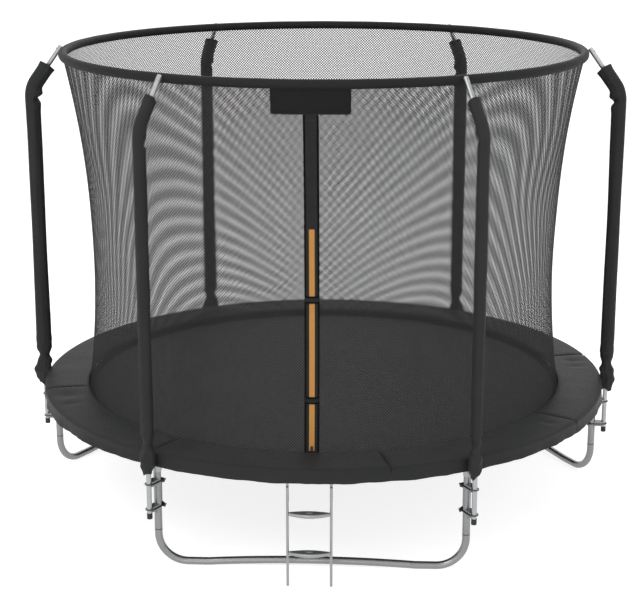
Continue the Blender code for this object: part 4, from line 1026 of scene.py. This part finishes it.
def pad_ring(angle):
    """One closed section of the pad at an angle: foam part, then the hanging skirt."""
    spot = polar(1.0, angle)
    pinch, groove = seam_pinch(angle, SEAM_PUCKER), seam_pinch(angle, SEAM_GROOVE)
    slow = rough(spot.x * 7.0, spot.y * 7.0, 1.0)
    near_pole = max(0.0, cos(6 * angle)) ** 14
    width = PAD_OUTER - PAD_INNER
    section = [(PAD_INNER + 0.005, PAD_BOTTOM), (PAD_INNER + 0.0015, PAD_BOTTOM + 0.002),
               (PAD_INNER, PAD_BOTTOM + 0.006), (PAD_INNER + 0.0004, PAD_TOP - 0.006),
               (PAD_INNER + 0.0030, PAD_TOP - 0.0016), (PAD_INNER + 0.0080, PAD_TOP + 0.0004)]
    steps = 22
    for n in range(1, steps):
        share = n / steps
        lump = rough(spot.x * 9.0, spot.y * 9.0, share * 1.6)
        fine = rough(spot.x * 26.0, spot.y * 26.0, share * 2.5)
        dome = sin(pi * share) ** 0.6
        top = PAD_TOP + 0.0004 + PAD_CROWN * dome * (1 - 0.75 * pinch)
        top += dome * (0.0022 * lump + 0.0009 * fine - 0.0080 * groove)
        top += pinch * (1 - groove) * 0.0013 * sin(share * 40 + slow * 9) - pad_dent(angle, share)
        section.append((PAD_INNER + 0.008 + (width - 0.016) * share, top))
    ripple = rough(spot.x * 13.0, spot.y * 13.0, 4.0)
    curl = rough(spot.x * 34.0, spot.y * 34.0, 9.0)
    rim = 0.0030 * pinch + 0.0035 * groove - 0.0012 * ripple
    section += [(PAD_OUTER - 0.0060, PAD_TOP - 0.0004 - rim),
                (PAD_OUTER - 0.0018, PAD_TOP - 0.0034 - rim),
                (PAD_OUTER - 0.0002, PAD_TOP - 0.0080 - rim)]
    top = section[-1][1]
    low = SKIRT_BOTTOM + 0.0040 * slow - 0.0014 * curl
    free = 1 - near_pole
    for n in range(1, 11):
        share = n / 10
        out = (0.0105 * ripple + 0.0018 * curl) * share ** 1.3 + 0.0030 * share
        tuck = 0.0045 * sin(pi * share) * (0.5 + 0.5 * ripple)
        section.append((PAD_OUTER - 0.0002 + (out - tuck) * free - 0.004 * groove * (1 - share),
                        top + (low - top) * share))
    edge_out, edge_low = section[-1]
    section += [(edge_out - 0.0006, edge_low - 0.0012), (edge_out - 0.0030, edge_low - 0.0008)]
    for share in (0.75, 0.45, 0.15):
        section.append((edge_out - 0.0030 + (SKIRT_INNER - edge_out + 0.003) * (1 - share),
                        edge_low + (PAD_BOTTOM - edge_low) * (1 - share)))
    section += [(SKIRT_INNER - 0.001, PAD_BOTTOM), (SKIRT_INNER - 0.08, PAD_BOTTOM)]
    return section


def build_pad():
    stations = 1080
    rows = []
    for n in range(stations):
        angle = 2 * pi * (n + 0.5) / stations
        rows.append([polar(radius, angle, height) for radius, height in pad_ring(angle)])
    shape, unit = Shape(), 2 * pi * PAD_MIDDLE / stations
    shape.grid(rows, lambda r, c: (r * unit, c * 0.0105), True, True)
    made = piece("pad_cushion", shape, "pad", "frame", ["safety_pad"],
                 sharp=65)
    piping, joins, stitches = Shape(), Shape(), Shape()
    for radius, height in ((PAD_OUTER - 0.0022, PAD_TOP - 0.0022),
                           (PAD_INNER + 0.0022, PAD_TOP - 0.0018)):
        piping.tube([polar(radius, angle, height) for angle in rounds(540)], 0.0015, 6,
                    closed=True)
    for seam in PAD_SEAMS:
        joins.tube([polar(radius, seam, height + 0.0004)
                    for radius, height in pad_ring(seam)[5:32]], 0.0017, 6)
        for angle in (seam - 0.0052, seam + 0.0052):
            line = [polar(radius, angle, height + 0.0002)
                    for radius, height in pad_ring(angle)[6:26]]
            stitch_line(stitches, line, (0, 0, 1), 0.0060, 0.0034, 0.00055)
    for name, shape, look, sharp in (("piping", piping, "pad", 80),
                                     ("seam_joins", joins, "edge", 80),
                                     ("stitches", stitches, "stitch", 35)):
        piece(f"pad_{name}", shape, look, "frame", sharp=sharp)


# ---- Ladder
def build_ladder():
    outer, wrap, tail = HOOK_INNER + HOOK_THICKNESS, radians(HOOK_WRAP), HOOK_TAIL - RAIL_HEIGHT
    hook = [(outer, tail)] + arc((0, 0), outer, 0, wrap, 24) \
        + arc((0, 0), HOOK_INNER, wrap, 0, 24) + [(HOOK_INNER, tail)]
    for name, across in (("left", -LADDER_HALF), ("right", LADDER_HALF)):
        shape = Shape()
        hollow(shape, [Vector((across, LADDER_Y, height)) for height in
                       (0.0008, 0.13, 0.26, 0.39, LADDER_TOP)], LADDER_TUBE, 0.0012, 16)
        shape.prism(hook, across - HOOK_WIDTH / 2, across + HOOK_WIDTH / 2,
                    lambda u, v, w: Vector((w, LADDER_AXIS_Y - u, RAIL_HEIGHT + v)))
        piece(f"ladder_tube_{name}", shape, "rung", "ladder",
              [f"ladder_rail_{name}"], bevel=0.0004)
    for name, height in STEPS:
        build_tread(name, height)
        build_grip(name, height + TREAD_HALF)
        build_inset(name, height + TREAD_HALF)


TREAD_HALF, TREAD_COLUMNS = 0.0095, 40
TREAD_REACH = LADDER_HALF - LADDER_TUBE - FIT
TREAD_EDGES, GRIP_EDGES, RIB_EDGES = (0.018, -0.010), (0.0150, -0.0060), (0.0125, -0.0035)


def lens(share, edges):
    """Back and front of a tread that is wider in its middle; edges from the ladder's Y."""
    bow = sin(pi * share)
    return (LADDER_Y + edges[0] - 0.015 * (1 - bow), LADDER_Y + edges[1] - 0.024 * bow)


def build_tread(name, height):
    """A pressed steel tread, lens-shaped, with turned-down edges."""
    sections, top = [], height + TREAD_HALF
    for share in spread(0.0, 1.0, TREAD_COLUMNS):
        back, front = lens(share, TREAD_EDGES)
        drop = TREAD_HALF * (0.72 + 0.28 * sin(pi * share))
        sections.append([Vector((TREAD_REACH * (2 * share - 1), y, z)) for y, z in (
            (back, top - 0.002), (back - 0.002, top - 0.0004), (front + 0.004, top - 0.0004),
            (front + 0.001, top - 0.0016), (front, top - 0.004), (front, height - drop * 0.6),
            (front + 0.0012, height - drop), (front + 0.0040, height - drop),
            (front + 0.0030, top - 0.0030), (back - 0.0030, top - 0.0030),
            (back - 0.0025, height - TREAD_HALF * 0.8), (back, height - TREAD_HALF * 0.8))])
    shape = Shape()
    shape.solid(sections)
    piece(f"tread_{name}", shape, "rung", "ladder",
          [f"ladder_step_{name}"], sharp=40)


def build_grip(name, top):
    """The tread's dark grip, ribbed, with a slot in its middle."""
    grip = Shape()
    for side in (-1, 1):
        rows = []
        for share in spread(0.035, 0.965, TREAD_COLUMNS):
            across = TREAD_REACH * (2 * share - 1)
            back, front = lens(share, GRIP_EDGES)
            middle = (back + front) / 2
            opening = 0.0040 * sqrt(max(0.0, 1 - (across / 0.021) ** 2))
            near, far = (middle + opening, back) if side > 0 else (front, middle - opening)
            level = top + 0.0006 * min(1.0, (back - front) / 0.012)
            rows.append([Vector((across, y, z)) for y, z in (
                (near, top - 0.0006), (near, level), ((near + far) / 2, level), (far, level),
                (far, top - 0.0006))])
        grip.grid(rows, None, False, True)
    for rib in range(5):
        for side in (-1, 1):
            across = side * (0.022 + rib * 0.0125)
            back, front = lens((across / TREAD_REACH + 1) / 2, RIB_EDGES)
            grip.tube([Vector((across, front + (back - front) * k / 4, top + 0.0006))
                       for k in range(5)], 0.0009, 6)
    piece(f"tread_grip_{name}", grip, "grip", "ladder", sharp=40)


def build_inset(name, top):
    """The oval in the grip's slot; its zinc, lighter than the tread's steel, is a painted
    highlight.
    """
    middle, inset = sum(lens(0.5, GRIP_EDGES)) / 2, Shape()
    inset.solid([[Vector((0.0195 * share * cos(around), middle + 0.0068 * share * sin(around),
                          top + level)) for around in rounds(40)]
                 for share, level in ((1.0, -0.0004), (1.0, 0.0012), (0.93, 0.0017),
                                      (0.5, 0.0020))])
    piece(f"tread_inset_{name}", inset, "zinc", "ladder", sharp=50)


def dress_cad():
    """Gives the CAD parts that stay in sight their finish."""
    for name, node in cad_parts.items():
        if name.startswith(("frame_rail", "rail_socket", "top_ring")):
            node.data.materials.clear()
            node.data.materials.append(LOOKS["steel"])


for build in (build_stage, build_legs, build_clamps, build_poles, build_sleeves, build_hem,
              build_net, build_entry, build_sign, build_mat, build_v_rings, build_springs,
              build_pad, build_ladder, dress_cad):
    build()
